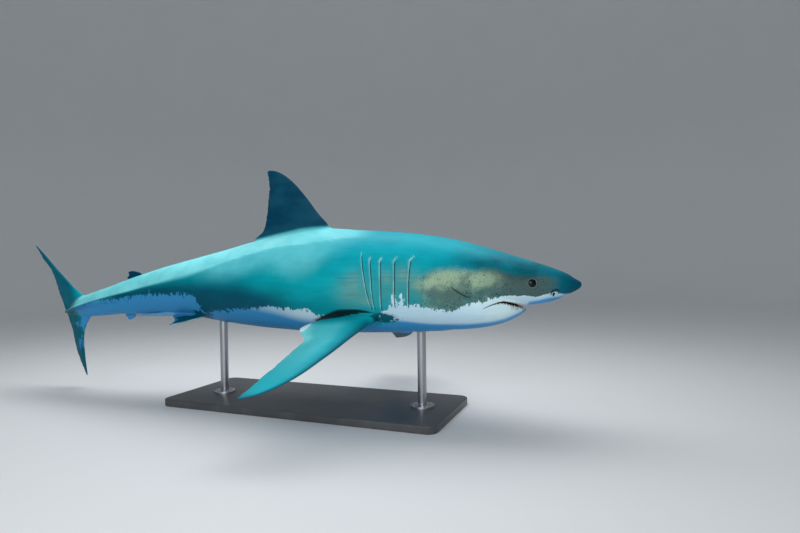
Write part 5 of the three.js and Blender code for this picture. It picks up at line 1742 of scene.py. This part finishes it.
CAMERA_PLACE = (1.872, -3.130, 0.942)
CAMERA_RIGHT = (0.92852, 0.37094, -0.01566)
CAMERA_UP = (0.00982, 0.01762, 0.99980)
CAMERA_BACK = (0.37114, -0.92849, 0.01272)
CAMERA_LENS, CAMERA_SENSOR = 24.75, 36.0
WALL_FILLET, WALL_HEIGHT = 5.0, 12.0
WORLD_LIGHT, WORLD_STRENGTH = (0.93, 0.96, 1.0), 0.5
AREA_LIGHTS = {
    "key_light": {"place": (-0.5, 0.9, 3.3), "aim": (-0.4, 0.1, 0.8), "size": (5.0, 1.6), "power": 100},
    "fill_light": {"place": (1.4, -4.9, 2.3), "aim": (-0.1, 0, 0.8), "size": (4.0, 2.5), "power": 160},
}


def stage_floor(size):
    """A pale floor that curves up into a wall all round, far outside the model."""
    radius = size / 2
    turn = np.linspace(0, math.pi / 2, 12)
    profile = [(radius * share, 0.0) for share in (0.02, 0.2, 0.5, 0.8)]
    profile += [(radius + WALL_FILLET * math.sin(t), WALL_FILLET * (1 - math.cos(t))) for t in turn]
    profile += [(radius + WALL_FILLET, WALL_FILLET + WALL_HEIGHT)]
    angle = np.linspace(0, 2 * math.pi, 96, endpoint=False)
    rings = np.array([[(r * math.cos(a), r * math.sin(a), z) for a in angle] for r, z in profile])
    count = len(angle)
    points = np.concatenate([rings.reshape(-1, 3), [[0, 0, 0]]])
    faces = [[len(points) - 1, i, (i + 1) % count] for i in range(count)]
    for row in range(len(profile) - 1):
        for i in range(count):
            j = (i + 1) % count
            faces.append([row * count + i, (row + 1) * count + i, (row + 1) * count + j, row * count + j])
    mesh = bpy.data.meshes.new("floor")
    mesh.from_pydata(points.tolist(), [], faces)
    mesh.validate()
    floor = bpy.data.objects.new("floor", mesh)
    bpy.context.collection.objects.link(floor)
    return floor


def aim(place, target):
    direction = Vector(target) - Vector(place)
    return direction.to_track_quat("-Z", "Y").to_matrix().to_4x4()


def add_lights():
    for name, light in AREA_LIGHTS.items():
        data = bpy.data.lights.new(name, "AREA")
        data.shape = "RECTANGLE"
        data.size, data.size_y = light["size"]
        data.energy = light["power"]
        lamp = bpy.data.objects.new(name, data)
        lamp.visible_camera = False
        lamp.matrix_world = Matrix.Translation(light["place"]) @ aim(light["place"], light["aim"])
        bpy.context.collection.objects.link(lamp)
    world = bpy.data.worlds.new("studio")
    world.use_nodes = True
    background = world.node_tree.nodes["Background"]
    background.inputs["Color"].default_value = (*WORLD_LIGHT, 1)
    background.inputs["Strength"].default_value = WORLD_STRENGTH
    bpy.context.scene.world = world


def add_camera():
    data = bpy.data.cameras.new("camera")
    data.lens, data.sensor_width = CAMERA_LENS, CAMERA_SENSOR
    camera = bpy.data.objects.new("camera", data)
    camera.matrix_world = matrix_from(CAMERA_RIGHT, CAMERA_UP, CAMERA_BACK, CAMERA_PLACE)
    bpy.context.collection.objects.link(camera)
    bpy.context.scene.camera = camera


# ---------------------------------------------------------------- operators

# Degrees between faces up to which an edge is shaded smooth.
TOOTH_SMOOTHING, STAND_SMOOTHING = 50, 35
SKIN_NODES = ("head", "jaw_lower", "gill_region", "trunk", "tail_stalk", "dorsal_fin", "second_dorsal_fin",
              "anal_fin", "tail_fin_upper_lobe", "tail_fin_lower_lobe", "pectoral_fin_left",
              "pectoral_fin_right", "pelvic_fin_left", "pelvic_fin_right", "clasper_left", "clasper_right")


def smooth(piece, degrees=None):
    """Shades a piece smooth, everywhere or where faces meet at less than an angle."""
    select_only(piece)
    if degrees is None:
        bpy.ops.object.shade_smooth()
    else:
        bpy.ops.object.shade_smooth_by_angle(angle=math.radians(degrees))


def place_piece(piece, material, slot, *nodes):
    """Finishes a piece: its material, body and the CAD nodes that it stands for. The slot is not used."""
    piece.data.materials.clear()
    piece.data.materials.append(material)
    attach(piece, "root")
    if nodes:
        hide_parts(*nodes)


class SHARK_OT_skin(bpy.types.Operator):
    """Build the shark's skin, with fins, mouth, gill slits and markings"""

    bl_idname = "shark.skin"
    bl_label = "Skin"

    def execute(self, context):
        skin = body_piece()
        grow_fins(skin)
        shape_head(skin)
        smooth(skin)
        mark_skin(skin)
        place_piece(skin, hide_material(context.scene.shark_colours), "hide", *SKIN_NODES)
        return {"FINISHED"}


class SHARK_OT_teeth(bpy.types.Operator):
    """Set a row of teeth in each jaw"""

    bl_idname = "shark.teeth"
    bl_label = "Teeth"

    def execute(self, context):
        sizes = context.scene.shark_sizes
        enamel = tooth_material(context.scene.shark_colours)
        rows = [tooth_row("teeth_upper", upper_lip, sizes.upper_tooth, True, sizes.teeth_per_side),
                tooth_row("teeth_lower", lower_lip, sizes.lower_tooth, False, sizes.teeth_per_side)]
        for row in rows:
            smooth(row, TOOTH_SMOOTHING)
            place_piece(row, enamel, "hide_pale")
        return {"FINISHED"}


class SHARK_OT_eyes(bpy.types.Operator):
    """Put a wet black eye in each socket"""

    bl_idname = "shark.eyes"
    bl_label = "Eyes"

    def execute(self, context):
        black = eye_material(context.scene.shark_colours)
        for name, side in (("left", 1), ("right", -1)):
            eye = eye_piece("eyeball_" + name, side)
            smooth(eye)
            place_piece(eye, black, "eye", "eye_" + name)
        return {"FINISHED"}


class SHARK_OT_stand(bpy.types.Operator):
    """Build the display stand: a painted base and two steel rods"""

    bl_idname = "shark.stand"
    bl_label = "Stand"

    def execute(self, context):
        colours = context.scene.shark_colours
        base = base_piece()
        place_piece(base, paint_material(colours), "stand_base", "stand_base")
        steel = steel_material(colours)
        for name, station in ROD_STATIONS.items():
            rod = rod_piece(name, station, context.scene.shark_sizes.screw_radius)
            place_piece(rod, steel, "stand_steel", name)
            smooth(rod, STAND_SMOOTHING)
        smooth(base, STAND_SMOOTHING)
        return {"FINISHED"}


class SHARK_OT_stage(bpy.types.Operator):
    """Add the pale floor, the lights and the camera"""

    bl_idname = "shark.stage"
    bl_label = "Stage"

    def execute(self, context):
        floor = stage_floor(context.scene.shark_sizes.floor_size)
        smooth(floor)
        floor.data.materials.append(floor_material(context.scene.shark_colours))
        add_lights()
        add_camera()
        context.scene.view_settings.view_transform = "Standard"
        return {"FINISHED"}


class SHARK_PT_panel(bpy.types.Panel):
    """Lists the steps that build the model"""

    bl_label = "Shark model"
    bl_idname = "SHARK_PT_panel"
    bl_space_type = "VIEW_3D"
    bl_region_type = "UI"
    bl_category = "Shark"

    def draw(self, context):
        for operator in OPERATORS:
            self.layout.operator(operator.bl_idname)
        for group in (context.scene.shark_sizes, context.scene.shark_colours):
            column = self.layout.column()
            for name in group.__annotations__:
                column.prop(group, name)


OPERATORS = (SHARK_OT_skin, SHARK_OT_teeth, SHARK_OT_eyes, SHARK_OT_stand, SHARK_OT_stage)
CLASSES = (SharkColours, SharkSizes, *OPERATORS, SHARK_PT_panel)


def register():
    for made in CLASSES:
        bpy.utils.register_class(made)
    bpy.types.Scene.shark_colours = bpy.props.PointerProperty(type=SharkColours)
    bpy.types.Scene.shark_sizes = bpy.props.PointerProperty(type=SharkSizes)


def unregister():
    del bpy.types.Scene.shark_sizes
    del bpy.types.Scene.shark_colours
    for made in reversed(CLASSES):
        bpy.utils.unregister_class(made)


def main():
    register()
    bpy.ops.shark.skin()
    bpy.ops.shark.teeth()
    bpy.ops.shark.eyes()
    bpy.ops.shark.stand()
    bpy.ops.shark.stage()


if __name__ == "__main__":
    main()
